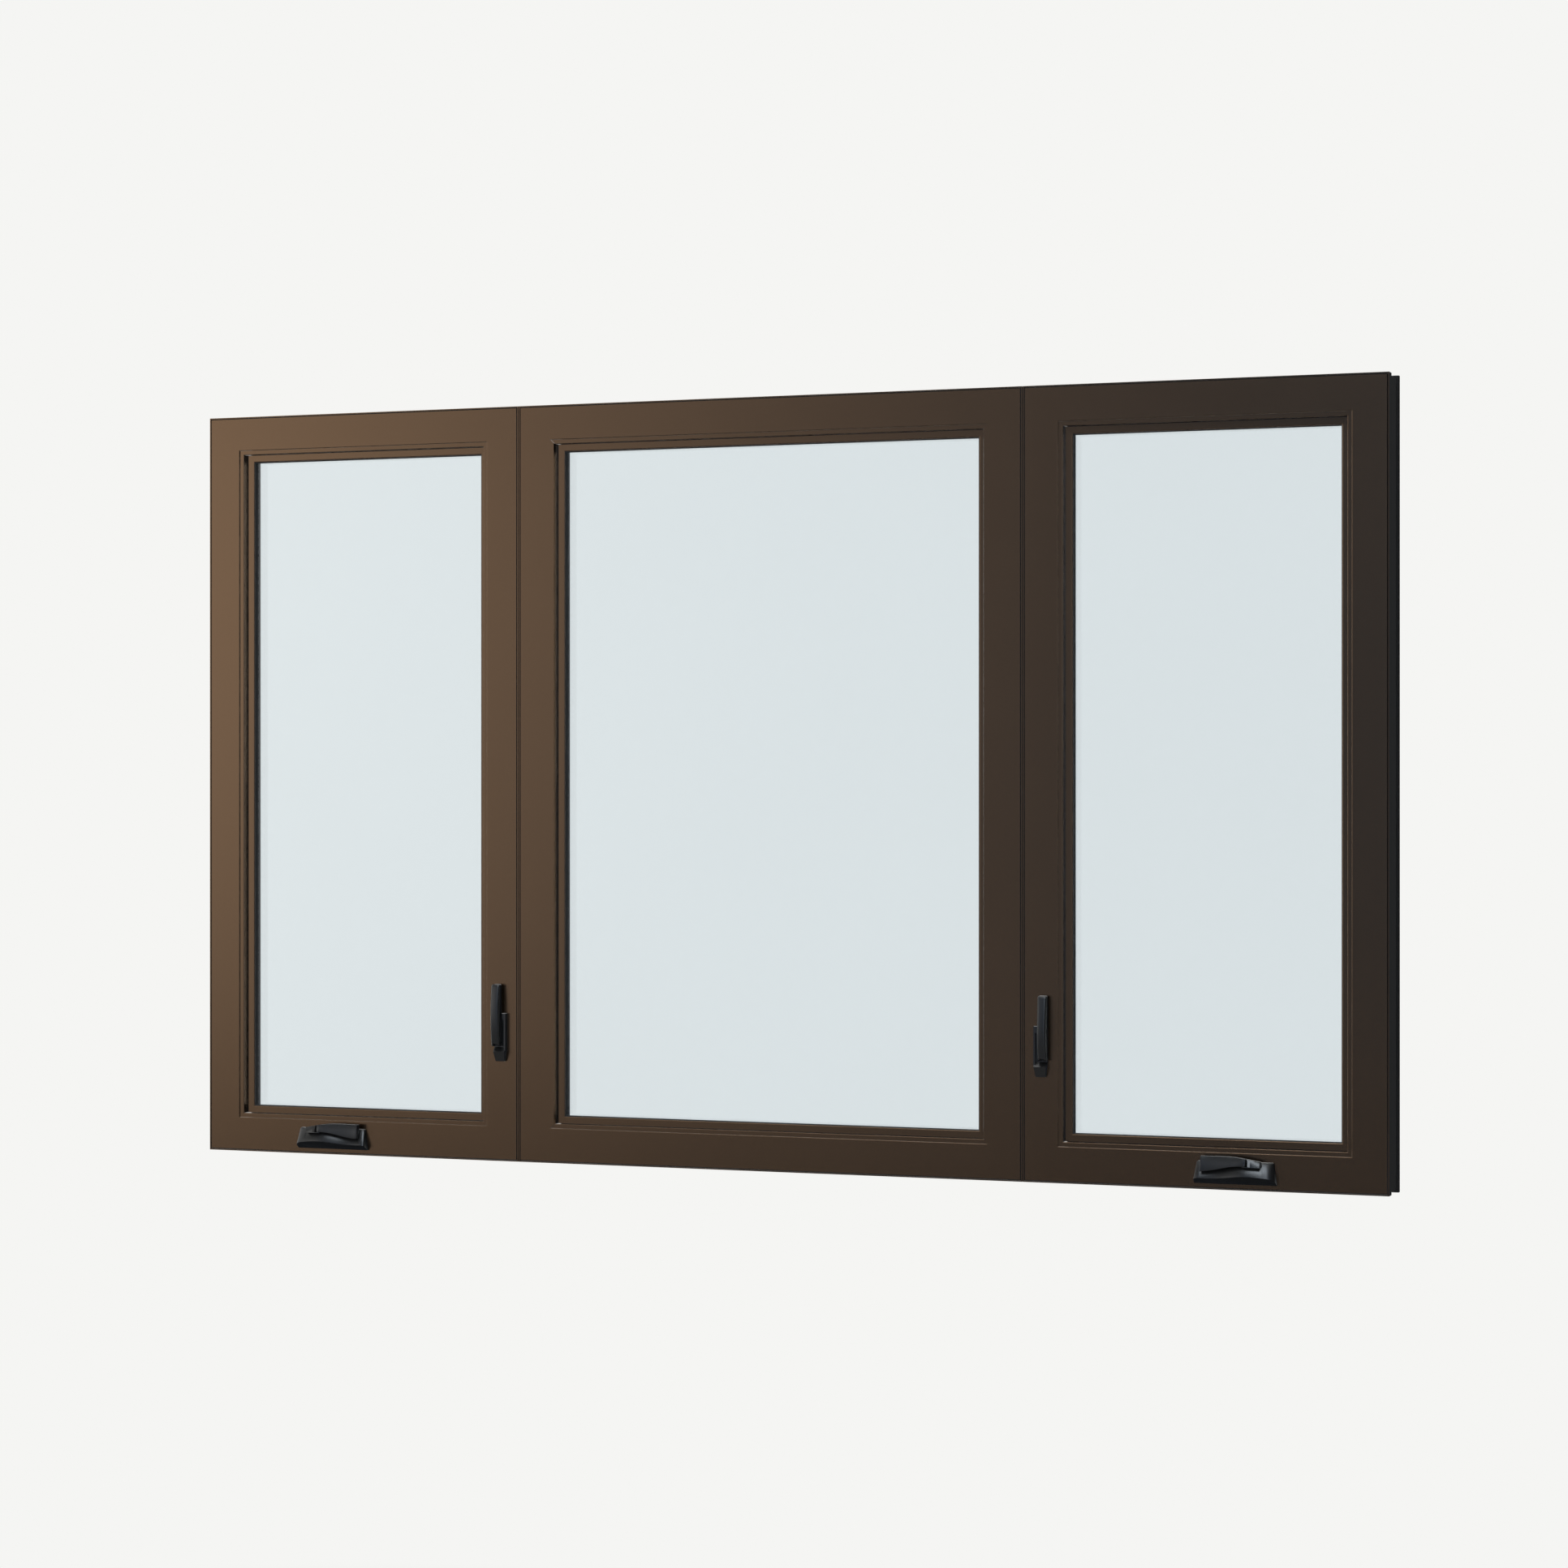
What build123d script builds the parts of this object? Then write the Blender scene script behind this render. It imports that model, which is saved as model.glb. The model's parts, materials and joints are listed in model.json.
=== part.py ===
"""Combination casement window: a fixed centre light between two casements, seen from the room.

X runs to the right as seen from the room, Y from the room to the outside, Z up.
The origin lies on the underside of the centre sill, at mid width and mid depth.
"""

import os

from build123d import *

# Units, measured over their room-side lips
casement_width = 610
fixed_width = 915
unit_height = 1320
frame_depth = 83
mull_gap = 1.5

# Frame section, across from the unit's edge and back from the room face
lip_width = 1.6
kerf_width = 1.8
kerf_depth = 11
face_width = 60.5
step_width = 7.5
step_drop = 3
casement_stop_depth = 20
fixed_stop_depth = 18
fixed_bevel_width = 1.5
fixed_bevel_depth = 4
flange_depth = 20
body_recess = 3
leg_width = 24
trim_depth = 10
trim_proud = 1.5
face_round = 1.2

# Sash and glazing frame section
sash_reveal = 3
sash_width = 50
sash_setback = 17
sash_round = 1.6
glass_setback = 12
glass_bite = 13
glass_edge_clearance = 2.5
pane_thickness = 3
spacer_depth = 10
spacer_width = 11
bead_recess = 2
bead_fall = 10.5
bead_joint = 0.4

# Trim over the joints between units, on the outside
mull_cover_width = 44
mull_cover_thickness = 3.5
mull_cover_round = 1.5
mull_tongue_depth = 20
mull_tongue_clearance = 0.3

# Operator cover, measured from the unit's hinge edge and bottom lip
operator_from_hinge_edge = 250
operator_length = 137
operator_bottom = 10
operator_height = 37
operator_flare = 3
operator_slope = 9
operator_end_slope = 5
operator_sole_depth = 3
operator_underside_rise = 0.55
operator_mull_depth = 18
operator_waist_depth = 19.5
operator_crest_depth = 28
operator_hinge_depth = 24
wave_waist = 0.34
wave_crest = 0.67
wave_end_turn = 0.35
operator_mull_round = 8
operator_hinge_round = 12
operator_top_bevel = 2

# Folding crank arm, nested in the front of the cover
arm_from_mull_end = 9
arm_reach = 78
arm_thickness = 10
arm_top = 56
arm_top_fall = 0.2
arm_tip_bottom = 31.5
arm_root_bottom = 41.5
arm_root_flat = 8
nest_gap = 1.5
hub_length = 21
hub_top = 49
hub_swing_clearance = 0.6
crank_swing = 120
crank_pin_radius = 1.6
crank_pin_setback = 3.4
pin_clearance = 0.05
knuckle_gap = 0.4

# Lock lever, measured from the unit's mull edge and bottom lip
lock_plate_from_edge = 20.5
lock_plate_bottom = 175
lock_plate_height = 84
lock_plate_width = 23
lock_plate_foot_width = 17
lock_plate_thickness = 4
lock_plate_round = 4
lock_cheek_width = 3
lock_cheek_depth = 5
lock_boss_width = 7
lock_boss_height = 11
lock_boss_round = 1.5
lock_foot_height = 25
lock_foot_depth = 8
lock_foot_toe = 1.5
lock_foot_round = 2
lock_foot_gap = 1.5
lock_lever_offset = 5
lock_lever_width = 16
lock_lever_reach = 103
lock_lever_root_radius = 5.5
lock_lever_bow = 4
lock_lever_tip_thickness = 9.5
lock_lever_edge_bevel = 3
lock_lever_gap = 1.2
lock_lug_width = 6
lock_lug_radius = 3.2
lock_lug_gap = 0.5
lock_pin_radius = 1.5
lock_pin_inset = 1.5
lock_swing = 130

os.makedirs("parts", exist_ok=True)

# Places that follow from the sizes
room_face = -frame_depth / 2
lip_bottom = -body_recess
sight_edge = body_recess + leg_width + sash_reveal + sash_width
rebate_edge = body_recess + leg_width
total_width = 2 * casement_width + fixed_width + 2 * mull_gap
glass_depth = 2 * pane_thickness + spacer_depth

# Each unit: left edge, width, stop depth, sides that face a neighbour, sides whose face has a step
UNITS = {
    "left": (-total_width / 2, casement_width, casement_stop_depth, ["right"], None),
    "fixed": (-fixed_width / 2, fixed_width, fixed_stop_depth, ["left", "right"], ["sill", "head"]),
    "right": (fixed_width / 2 + mull_gap, casement_width, casement_stop_depth, ["left"], None),
}

# Each side of a unit: start corner as shares of width and height, way it runs, way in to the glass
SIDES = {
    "sill": ((1, 0), Vector(-1, 0, 0), Vector(0, 0, 1)),
    "left": ((0, 0), Vector(0, 0, 1), Vector(1, 0, 0)),
    "head": ((0, 1), Vector(1, 0, 0), Vector(0, 0, -1)),
    "right": ((1, 1), Vector(0, 0, -1), Vector(-1, 0, 0)),
}

JAMB_NAMES = {
    "left": {"left": "hinge", "right": "lock"},
    "fixed": {"left": "left", "right": "right"},
    "right": {"left": "lock", "right": "hinge"},
}
RAIL_NAMES = {"sill": "bottom_rail", "head": "top_rail"}


def write(part, name):
    """Label a finished piece and write it to its own file."""
    part.label = name
    export_step(part, f"parts/{name}.step")


def mitred_stick(unit, side, outline, rounds=(), overrun=0.0, joint=0.0, square_ends=()):
    """A stick along one side of a unit, mitred at both corners.

    The outline's points are measured in from the unit's edge and back from the room face.
    Rounds are pairs of outline point and radius. A square end stops at the unit's edge.
    """
    left_edge, width = UNITS[unit][:2]
    (share_x, share_z), run, inward = SIDES[side]
    start = Vector(left_edge + share_x * width, room_face, lip_bottom + share_z * unit_height)
    length = width if run.X else unit_height
    end = start + run * length
    with BuildPart() as stick:
        with BuildSketch(Plane(start - run * overrun, x_dir=inward, z_dir=run)) as section:
            with BuildLine():
                Polyline(*outline, close=True)
            make_face()
            for point, radius in rounds:
                fillet(section.vertices().sort_by_distance(point)[0], radius)
        extrude(amount=length + 2 * overrun)
        split(bisect_by=Plane(start, z_dir=run - inward).offset(joint / 2))
        split(bisect_by=Plane(end, z_dir=-run - inward).offset(joint / 2))
        if "start" in square_ends:
            split(bisect_by=Plane(start, z_dir=run))
        if "end" in square_ends:
            split(bisect_by=Plane(end, z_dir=-run))
    return stick.part


def frame_stick(unit, side):
    """A frame member: thin lip and kerf, broad face, glazing stop, and the leg behind it."""
    stop_depth, mulled, stepped = UNITS[unit][2:]
    has_step = stepped is None or side in stepped
    stop_edge = face_width + step_width
    trim_edge = 0 if side in mulled else -trim_proud
    if has_step:
        face = [(face_width, 0), (face_width, step_drop), (stop_edge, step_drop)]
        rounds = [((face_width, 0), face_round), ((stop_edge, step_drop), face_round)]
    else:
        face = [(stop_edge - fixed_bevel_width, 0), (stop_edge, fixed_bevel_depth)]
        rounds = []
    outline = [
        (0, 0),
        (lip_width, 0),
        (lip_width, kerf_depth),
        (lip_width + kerf_width, kerf_depth),
        (lip_width + kerf_width, 0),
        *face,
        (stop_edge, stop_depth),
        (rebate_edge, stop_depth),
        (rebate_edge, frame_depth),
        (trim_edge, frame_depth),
        (trim_edge, frame_depth - trim_depth),
        (body_recess, frame_depth - trim_depth),
        (body_recess, flange_depth),
        (0, flange_depth),
    ]
    order = list(SIDES)
    place = order.index(side)
    square_ends = []
    if order[place - 1] in mulled:
        square_ends.append("start")
    if order[(place + 1) % len(order)] in mulled:
        square_ends.append("end")
    return mitred_stick(unit, side, outline, rounds, trim_proud, 0, square_ends)


def sash_stick(unit, side):
    """A sash or glazing frame member: it backs on to the stop and holds the glass in a rebate."""
    front = UNITS[unit][2]
    shoulder = front + glass_setback
    outside = frame_depth - sash_setback
    heel = rebate_edge + sash_reveal
    glass_rebate = sight_edge - glass_bite - glass_edge_clearance
    outline = [
        (heel, front),
        (sight_edge, front),
        (sight_edge, shoulder),
        (glass_rebate, shoulder),
        (glass_rebate, outside),
        (heel, outside),
    ]
    return mitred_stick(unit, side, outline, [((sight_edge, front), sash_round)])


def bead_stick(unit, side):
    """A glazing bead: it fills the rebate behind the glass and falls away towards the outside."""
    front = UNITS[unit][2] + glass_setback + glass_depth
    outside = frame_depth - sash_setback
    glass_rebate = sight_edge - glass_bite - glass_edge_clearance
    bead_edge = sight_edge - bead_recess
    outline = [
        (glass_rebate, front),
        (bead_edge, front),
        (bead_edge - bead_fall, outside),
        (glass_rebate, outside),
    ]
    return mitred_stick(unit, side, outline, joint=bead_joint)


def unit_sheet_plane(unit, depth):
    """The plane at a depth behind the room face, centred on a unit and facing the outside."""
    left_edge, width = UNITS[unit][:2]
    centre = (left_edge + width / 2, room_face + depth, lip_bottom + unit_height / 2)
    return Plane(centre, x_dir=(1, 0, 0), z_dir=(0, 1, 0))


# Frames, sashes, beads and glass
for unit, (left_edge, width, stop_depth, mulled, stepped) in UNITS.items():
    sash_name = "glazing" if unit == "fixed" else "sash"
    for side in SIDES:
        jamb = JAMB_NAMES[unit].get(side)
        frame_member = f"{jamb}_jamb" if jamb else side
        sash_member = f"{jamb}_stile" if jamb else RAIL_NAMES[side]
        write(frame_stick(unit, side), f"{unit}_frame_{frame_member}")
        write(sash_stick(unit, side), f"{unit}_{sash_name}_{sash_member}")

    with BuildPart() as bead:
        for side in SIDES:
            add(bead_stick(unit, side))
    write(bead.part, f"{unit}_outside_bead")

    glass_front = stop_depth + glass_setback
    glass_edge = sight_edge - glass_bite
    glass_width = width - 2 * glass_edge
    glass_height = unit_height - 2 * glass_edge
    with BuildPart() as glass:
        for pane_front in (glass_front, glass_front + pane_thickness + spacer_depth):
            with BuildSketch(unit_sheet_plane(unit, pane_front)):
                Rectangle(glass_width, glass_height)
            extrude(amount=pane_thickness)
    write(glass.part, f"{unit}_glass")

    with BuildPart() as spacer:
        with BuildSketch(unit_sheet_plane(unit, glass_front + pane_thickness)):
            Rectangle(glass_width, glass_height)
            Rectangle(glass_width - 2 * spacer_width, glass_height - 2 * spacer_width, mode=Mode.SUBTRACT)
        extrude(amount=spacer_depth)
    write(spacer.part, f"{unit}_spacer")

# Trim over the two joints: a flat cover with a tongue between the units
for name, way in (("left", -1), ("right", 1)):
    joint_x = way * (fixed_width + mull_gap) / 2
    outside = frame_depth / 2
    tongue_width = mull_gap - 2 * mull_tongue_clearance
    with BuildPart() as mull_cover:
        with BuildSketch(Plane.XY.offset(lip_bottom)) as section:
            with BuildLine():
                Polyline(
                    (joint_x - tongue_width / 2, outside - mull_tongue_depth),
                    (joint_x + tongue_width / 2, outside - mull_tongue_depth),
                    (joint_x + tongue_width / 2, outside),
                    (joint_x + mull_cover_width / 2, outside),
                    (joint_x + mull_cover_width / 2, outside + mull_cover_thickness),
                    (joint_x - mull_cover_width / 2, outside + mull_cover_thickness),
                    (joint_x - mull_cover_width / 2, outside),
                    (joint_x - tongue_width / 2, outside),
                    close=True,
                )
            make_face()
            fillet(section.vertices().group_by(Axis.Y)[-1], mull_cover_round)
        extrude(amount=unit_height)
    write(mull_cover.part, f"{name}_mull_cover")

# Operator of the right casement; the left one is its mirror image
mull_edge = fixed_width / 2 + mull_gap
operator_x = mull_edge + casement_width - operator_from_hinge_edge - operator_length / 2
operator_z = lip_bottom + operator_bottom
cover_top = operator_z + operator_height
arm_tip = operator_x + arm_from_mull_end
pin_x = arm_tip + arm_reach
hub_end = pin_x + hub_length
arm_tip_z = lip_bottom + arm_tip_bottom
arm_root_z = lip_bottom + arm_root_bottom
arm_top_z = lip_bottom + arm_top
hub_top_z = lip_bottom + hub_top
WAVE_ENDS = ((1, 0), (1, wave_end_turn))


def wave_points(inset, end_inset=0.0):
    """Points along the wave of the cover's front, drawn in towards the frame by an inset."""
    return [
        (operator_x + end_inset, room_face - operator_mull_depth + inset),
        (operator_x + wave_waist * operator_length, room_face - operator_waist_depth + inset),
        (operator_x + wave_crest * operator_length, room_face - operator_crest_depth + inset),
        (operator_x + operator_length - end_inset, room_face - operator_hinge_depth + inset),
    ]


def cover_outline(height, inset, end_inset):
    """The cover's outline at one height: a wave along the front and rounded corners."""
    points = wave_points(inset, end_inset)
    with BuildSketch(Plane.XY.offset(height)) as outline:
        with BuildLine():
            wave = Spline(*points, tangents=WAVE_ENDS)
            Polyline(wave @ 1, (points[-1][0], room_face), (points[0][0], room_face), wave @ 0)
        make_face()
        fillet(outline.vertices().sort_by_distance(points[0])[0], operator_mull_round)
        fillet(outline.vertices().sort_by_distance(points[-1])[0], operator_hinge_round)
    return outline.sketch


def arm_band(grow):
    """The space of the crank arm and its hub: a band along the wave with a curved lower edge."""
    low_root = arm_root_z - grow
    top = arm_top_z + grow
    with BuildPart() as band:
        with BuildSketch(Plane.XY.offset(operator_z)):
            with BuildLine():
                front = Spline(*wave_points(-grow), tangents=WAVE_ENDS)
                back = Spline(*wave_points(arm_thickness + grow), tangents=WAVE_ENDS)
                Line(front @ 0, back @ 0)
                Line(front @ 1, back @ 1)
            make_face()
        extrude(amount=top - operator_z)
        with BuildSketch(Plane.XZ) as elevation:
            with BuildLine():
                lower = Spline(
                    (arm_tip - grow, arm_tip_z - grow),
                    (pin_x - arm_root_flat, low_root),
                    tangents=((1, 0), (1, 0)),
                )
                upper = Spline(
                    (hub_end + grow, hub_top_z + grow),
                    ((arm_tip + pin_x) / 2, top),
                    (arm_tip - grow, top),
                    tangents=((-1, arm_top_fall), (-1, 0)),
                )
                Polyline(lower @ 1, (hub_end + grow, low_root), upper @ 0)
                Line(upper @ 1, lower @ 0)
            make_face()
        extrude(elevation.sketch, amount=frame_depth, mode=Mode.INTERSECT)
    return band.part


# The crank pin stands near the front of the band, so that the arm folds out past its hub
knuckle_radius = crank_pin_setback
pin_line = Spline(*wave_points(crank_pin_setback), tangents=WAVE_ENDS)
pin_y = pin_line.intersect(Plane((pin_x, 0, 0), z_dir=(1, 0, 0))).vertices()[0].Y
hub_base_z = arm_root_z - nest_gap
swing_face = Plane((pin_x, pin_y, 0), z_dir=Vector(0, -1, 0).rotate(Axis.Z, crank_swing))

# Cover: its front leans back, and its underside rises towards the room
with BuildPart() as cover:
    base = cover_outline(operator_z, -operator_flare, 0)
    crown = cover_outline(cover_top, operator_slope, operator_end_slope)
    loft([base, crown], ruled=True)
    rim = cover.faces().sort_by(Axis.Z)[-1].outer_wire().edges()
    chamfer(rim.sort_by(Axis.Y)[:-1], operator_top_bevel)
    sole_edge = (0, room_face - operator_sole_depth, operator_z)
    split(bisect_by=Plane(sole_edge, x_dir=(1, 0, 0), z_dir=(0, operator_underside_rise, 1)))
    add(arm_band(nest_gap), mode=Mode.SUBTRACT)

# Crank arm: the band up to its knuckle, bored for the pin
with BuildPart() as arm:
    add(arm_band(0))
    split(bisect_by=Plane((pin_x, 0, 0), z_dir=(-1, 0, 0)))
    arm_root_top = arm.vertices().group_by(Axis.X)[-1].sort_by(Axis.Z)[-1].Z
    with BuildSketch(Plane.XY.offset(arm_root_z)):
        with Locations((pin_x, pin_y)):
            Circle(knuckle_radius)
    extrude(amount=arm_root_top - arm_root_z)
    with BuildSketch(Plane.XY.offset(arm_root_z)):
        with Locations((pin_x, pin_y)):
            Circle(crank_pin_radius + pin_clearance)
    extrude(amount=arm_top_z - arm_root_z, mode=Mode.SUBTRACT)

# Hub: the block beside the arm with the pin's foot, bevelled to let the arm swing
with BuildPart() as hub:
    add(arm_band(0))
    split(bisect_by=swing_face.offset(knuckle_radius + hub_swing_clearance))
    split(bisect_by=Plane((pin_x, 0, 0), z_dir=(1, 0, 0)))
    hub_outline = hub.faces().sort_by(Axis.Z)[0]
    extrude(hub_outline, amount=nest_gap, dir=(0, 0, -1))
    with BuildSketch(Plane.XY.offset(hub_base_z)):
        with BuildLine():
            Polyline(
                (pin_x, pin_y - knuckle_radius),
                (pin_x + hub_length / 2, pin_y - knuckle_radius),
                (pin_x + hub_length / 2, pin_y + knuckle_radius),
                (pin_x, pin_y + knuckle_radius),
                close=True,
            )
        make_face()
        with Locations((pin_x, pin_y)):
            Circle(knuckle_radius)
    extrude(amount=nest_gap - knuckle_gap)
    with BuildSketch(Plane.XY.offset(hub_base_z)):
        with Locations((pin_x, pin_y)):
            Circle(crank_pin_radius)
    extrude(amount=arm_root_top - hub_base_z)

# Lock of the right casement: a plate with a wedge foot and a lug that carries the lever
plate_left = mull_edge + lock_plate_from_edge
plate_right = plate_left + lock_plate_width
plate_z = lip_bottom + lock_plate_bottom
plate_top = plate_z + lock_plate_height
foot_top = plate_z + lock_foot_height
foot_inset = (lock_plate_width - lock_plate_foot_width) / 2
plate_face = room_face - lock_plate_thickness
pivot_x = (plate_left + plate_right) / 2 + lock_lever_offset
pivot_y = plate_face - lock_lever_gap - lock_lever_root_radius
pivot_z = foot_top + lock_foot_gap + lock_lever_root_radius
lug_slot = lock_lug_radius + lock_lug_gap
lever_top = pivot_z + lock_lever_reach

with BuildPart() as lock_plate:
    with BuildSketch(Plane.XZ.offset(-room_face)) as outline:
        with BuildLine():
            Polyline(
                (plate_left + foot_inset, plate_z),
                (plate_right - foot_inset, plate_z),
                (plate_right, foot_top),
                (plate_right, plate_top),
                (plate_left, plate_top),
                (plate_left, foot_top),
                close=True,
            )
        make_face()
        fillet(outline.vertices().group_by(Axis.Y)[-1], lock_plate_round)
        fillet(outline.vertices().group_by(Axis.Y)[0], lock_foot_round)
    extrude(amount=lock_plate_thickness + lock_foot_depth)
    with BuildSketch(Plane.YZ.offset(plate_left)) as side:
        with BuildLine():
            Polyline(
                (room_face, plate_z),
                (plate_face - lock_foot_toe, plate_z),
                (plate_face - lock_foot_depth, foot_top - lock_foot_depth),
                (plate_face, foot_top),
                (plate_face, plate_top),
                (room_face, plate_top),
                close=True,
            )
        make_face()
    extrude(side.sketch, amount=lock_plate_width, mode=Mode.INTERSECT)
    cheek_z = foot_top - lock_foot_depth
    cheek_inset = foot_inset * lock_foot_depth / lock_foot_height
    boss_z = plate_top - lock_boss_height
    with BuildSketch(Plane.XZ.offset(-plate_face)) as cheek:
        with BuildLine():
            Polyline(
                (plate_left + cheek_inset, cheek_z),
                (plate_left + lock_cheek_width, cheek_z),
                (plate_left + lock_cheek_width, boss_z),
                (plate_left + lock_boss_width, boss_z),
                (plate_left + lock_boss_width, plate_top),
                (plate_left, plate_top),
                (plate_left, foot_top),
                close=True,
            )
        make_face()
        fillet(cheek.vertices().sort_by_distance((plate_left, plate_top))[0], lock_plate_round)
        boss_corner = (plate_left + lock_boss_width, plate_top)
        fillet(cheek.vertices().sort_by_distance(boss_corner)[0], lock_boss_round)
    extrude(amount=lock_cheek_depth)
    with BuildSketch(Plane.YZ.offset(pivot_x - lock_lug_width / 2)):
        with Locations(((plate_face + pivot_y) / 2, pivot_z)):
            Rectangle(plate_face - pivot_y, 2 * lock_lug_radius)
        with Locations((pivot_y, pivot_z)):
            Circle(lock_lug_radius)
    extrude(amount=lock_lug_width)
    pin_length = lock_lever_width - 2 * lock_pin_inset
    with BuildSketch(Plane.YZ.offset(pivot_x - pin_length / 2)):
        with Locations((pivot_y, pivot_z)):
            Circle(lock_pin_radius)
    extrude(amount=pin_length)

# Lock lever: bowed towards the room, bevelled along its front, forked at the root around the lug
with BuildPart() as lever:
    with BuildSketch(Plane.YZ.offset(pivot_x - lock_lever_width / 2)) as side:
        with BuildLine():
            back_y = pivot_y + lock_lever_root_radius
            front_y = pivot_y - lock_lever_root_radius
            tip_y = back_y - lock_lever_tip_thickness
            Line((back_y, pivot_z), (back_y, lever_top))
            Line((back_y, lever_top), (tip_y, lever_top))
            ThreePointArc(
                (tip_y, lever_top),
                (front_y - lock_lever_bow, pivot_z + lock_lever_reach / 2),
                (front_y, pivot_z),
            )
            ThreePointArc(
                (front_y, pivot_z), (pivot_y, pivot_z - lock_lever_root_radius), (back_y, pivot_z)
            )
        make_face()
    extrude(amount=lock_lever_width)
    front_edges = lever.faces().sort_by(Axis.Y)[0].edges().sort_by(Axis.Z)[1:]
    chamfer(front_edges, lock_lever_edge_bevel)
    with BuildSketch(Plane.YZ.offset(pivot_x - lock_lug_width / 2 - lock_lug_gap)):
        with Locations((pivot_y, pivot_z)):
            Circle(lug_slot)
            Rectangle(lock_lever_root_radius, 2 * lug_slot, align=(Align.MIN, Align.CENTER))
            Rectangle(2 * lock_lever_root_radius, lock_lever_root_radius, align=(Align.CENTER, Align.MAX))
        with Locations(Location((pivot_y, pivot_z, 0), (0, 0, -lock_swing))):
            Rectangle(2 * lock_lever_root_radius, 2 * lug_slot, align=(Align.MIN, Align.CENTER))
    extrude(amount=lock_lug_width + 2 * lock_lug_gap, mode=Mode.SUBTRACT)
    with BuildSketch(Plane.YZ.offset(pivot_x - lock_lever_width / 2)):
        with Locations((pivot_y, pivot_z)):
            Circle(lock_pin_radius + pin_clearance)
    extrude(amount=lock_lever_width, mode=Mode.SUBTRACT)

HARDWARE = {
    "operator_cover": cover.part,
    "crank_arm": arm.part,
    "crank_hub": hub.part,
    "lock_plate": lock_plate.part,
    "lock_lever": lever.part,
}
for name, piece in HARDWARE.items():
    write(piece, f"right_{name}")
    with BuildPart() as twin:
        mirror(piece, about=Plane.YZ)
    write(twin.part, f"left_{name}")
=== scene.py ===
"""Dresses a combination casement window: painted frames, glass, crank operators and lock levers."""

import json
import logging
import math
from collections.abc import Callable, Iterator
from contextlib import contextmanager
from dataclasses import dataclass
from enum import Enum
from functools import cached_property
from typing import ClassVar

import bmesh
import bpy
import numpy as np
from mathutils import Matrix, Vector


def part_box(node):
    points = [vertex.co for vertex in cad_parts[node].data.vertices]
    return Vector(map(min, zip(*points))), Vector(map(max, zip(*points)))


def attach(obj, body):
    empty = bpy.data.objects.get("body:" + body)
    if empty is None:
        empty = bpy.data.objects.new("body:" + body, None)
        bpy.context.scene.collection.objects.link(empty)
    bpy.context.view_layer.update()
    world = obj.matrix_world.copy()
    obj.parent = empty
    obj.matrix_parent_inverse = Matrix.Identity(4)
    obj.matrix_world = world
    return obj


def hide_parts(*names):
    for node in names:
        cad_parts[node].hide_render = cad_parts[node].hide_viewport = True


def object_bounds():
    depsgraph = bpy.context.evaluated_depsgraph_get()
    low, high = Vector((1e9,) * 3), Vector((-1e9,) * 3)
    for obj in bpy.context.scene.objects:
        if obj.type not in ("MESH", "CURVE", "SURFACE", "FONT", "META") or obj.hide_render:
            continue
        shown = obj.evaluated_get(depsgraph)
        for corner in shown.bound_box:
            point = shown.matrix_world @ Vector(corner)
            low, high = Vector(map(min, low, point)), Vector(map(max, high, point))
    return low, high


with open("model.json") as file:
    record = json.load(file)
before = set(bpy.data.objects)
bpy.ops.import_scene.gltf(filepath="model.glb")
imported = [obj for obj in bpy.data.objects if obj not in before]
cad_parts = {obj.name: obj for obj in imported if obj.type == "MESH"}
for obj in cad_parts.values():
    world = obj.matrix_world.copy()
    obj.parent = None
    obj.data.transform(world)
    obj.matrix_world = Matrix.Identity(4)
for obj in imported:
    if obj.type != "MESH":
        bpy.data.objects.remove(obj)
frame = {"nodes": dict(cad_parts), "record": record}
CAD_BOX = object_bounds()

TOUCH = 2e-5  # places closer than this are the same, in metres
ALONG = 0.999  # share of an edge's length that has to lie along an axis
SHARP = 32.0  # degrees between faces that meet at an edge
ROD_SIDES = 32
SOFT_STEPS = 2  # facets of a broken edge
GRAIN_FINENESS = 5.0  # times finer than the rest of the relief
FLAG_HEIGHT = -0.88  # just above the floor
log = logging.getLogger("window")

Piece = bpy.types.Object
Material = bpy.types.Material
Socket = bpy.types.NodeSocket
Colour = tuple[float, float, float]
Point = tuple[float, float, float]
Span = tuple[float, float]
Test = Callable[..., bool]


class Hand(Enum):
    """The two casements, by the word that starts the names of their hardware."""

    LEFT = "left"
    RIGHT = "right"


class Unit(Enum):
    """The three window units: the words for the unit, its inner frame and that frame's two stiles."""

    LEFT = ("left", "sash", "hinge", "lock")
    FIXED = ("fixed", "glazing", "left", "right")
    RIGHT = ("right", "sash", "lock", "hinge")


class Slot(Enum):
    """The record's material slots."""

    BRONZE = "bronze"
    HARDWARE = "hardware"
    GLASS = "glass"
    SPACER = "spacer"


class Axis(Enum):
    """Directions of the shared frame, by their place in a point."""

    X = 0
    Y = 1
    Z = 2


class Pick(Enum):
    """What an operator works on: corners or edges."""

    VERT = "verts"
    EDGE = "edges"


class Join(Enum):
    """How one shape is worked into another."""

    UNION = "UNION"
    DIFFERENCE = "DIFFERENCE"


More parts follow.
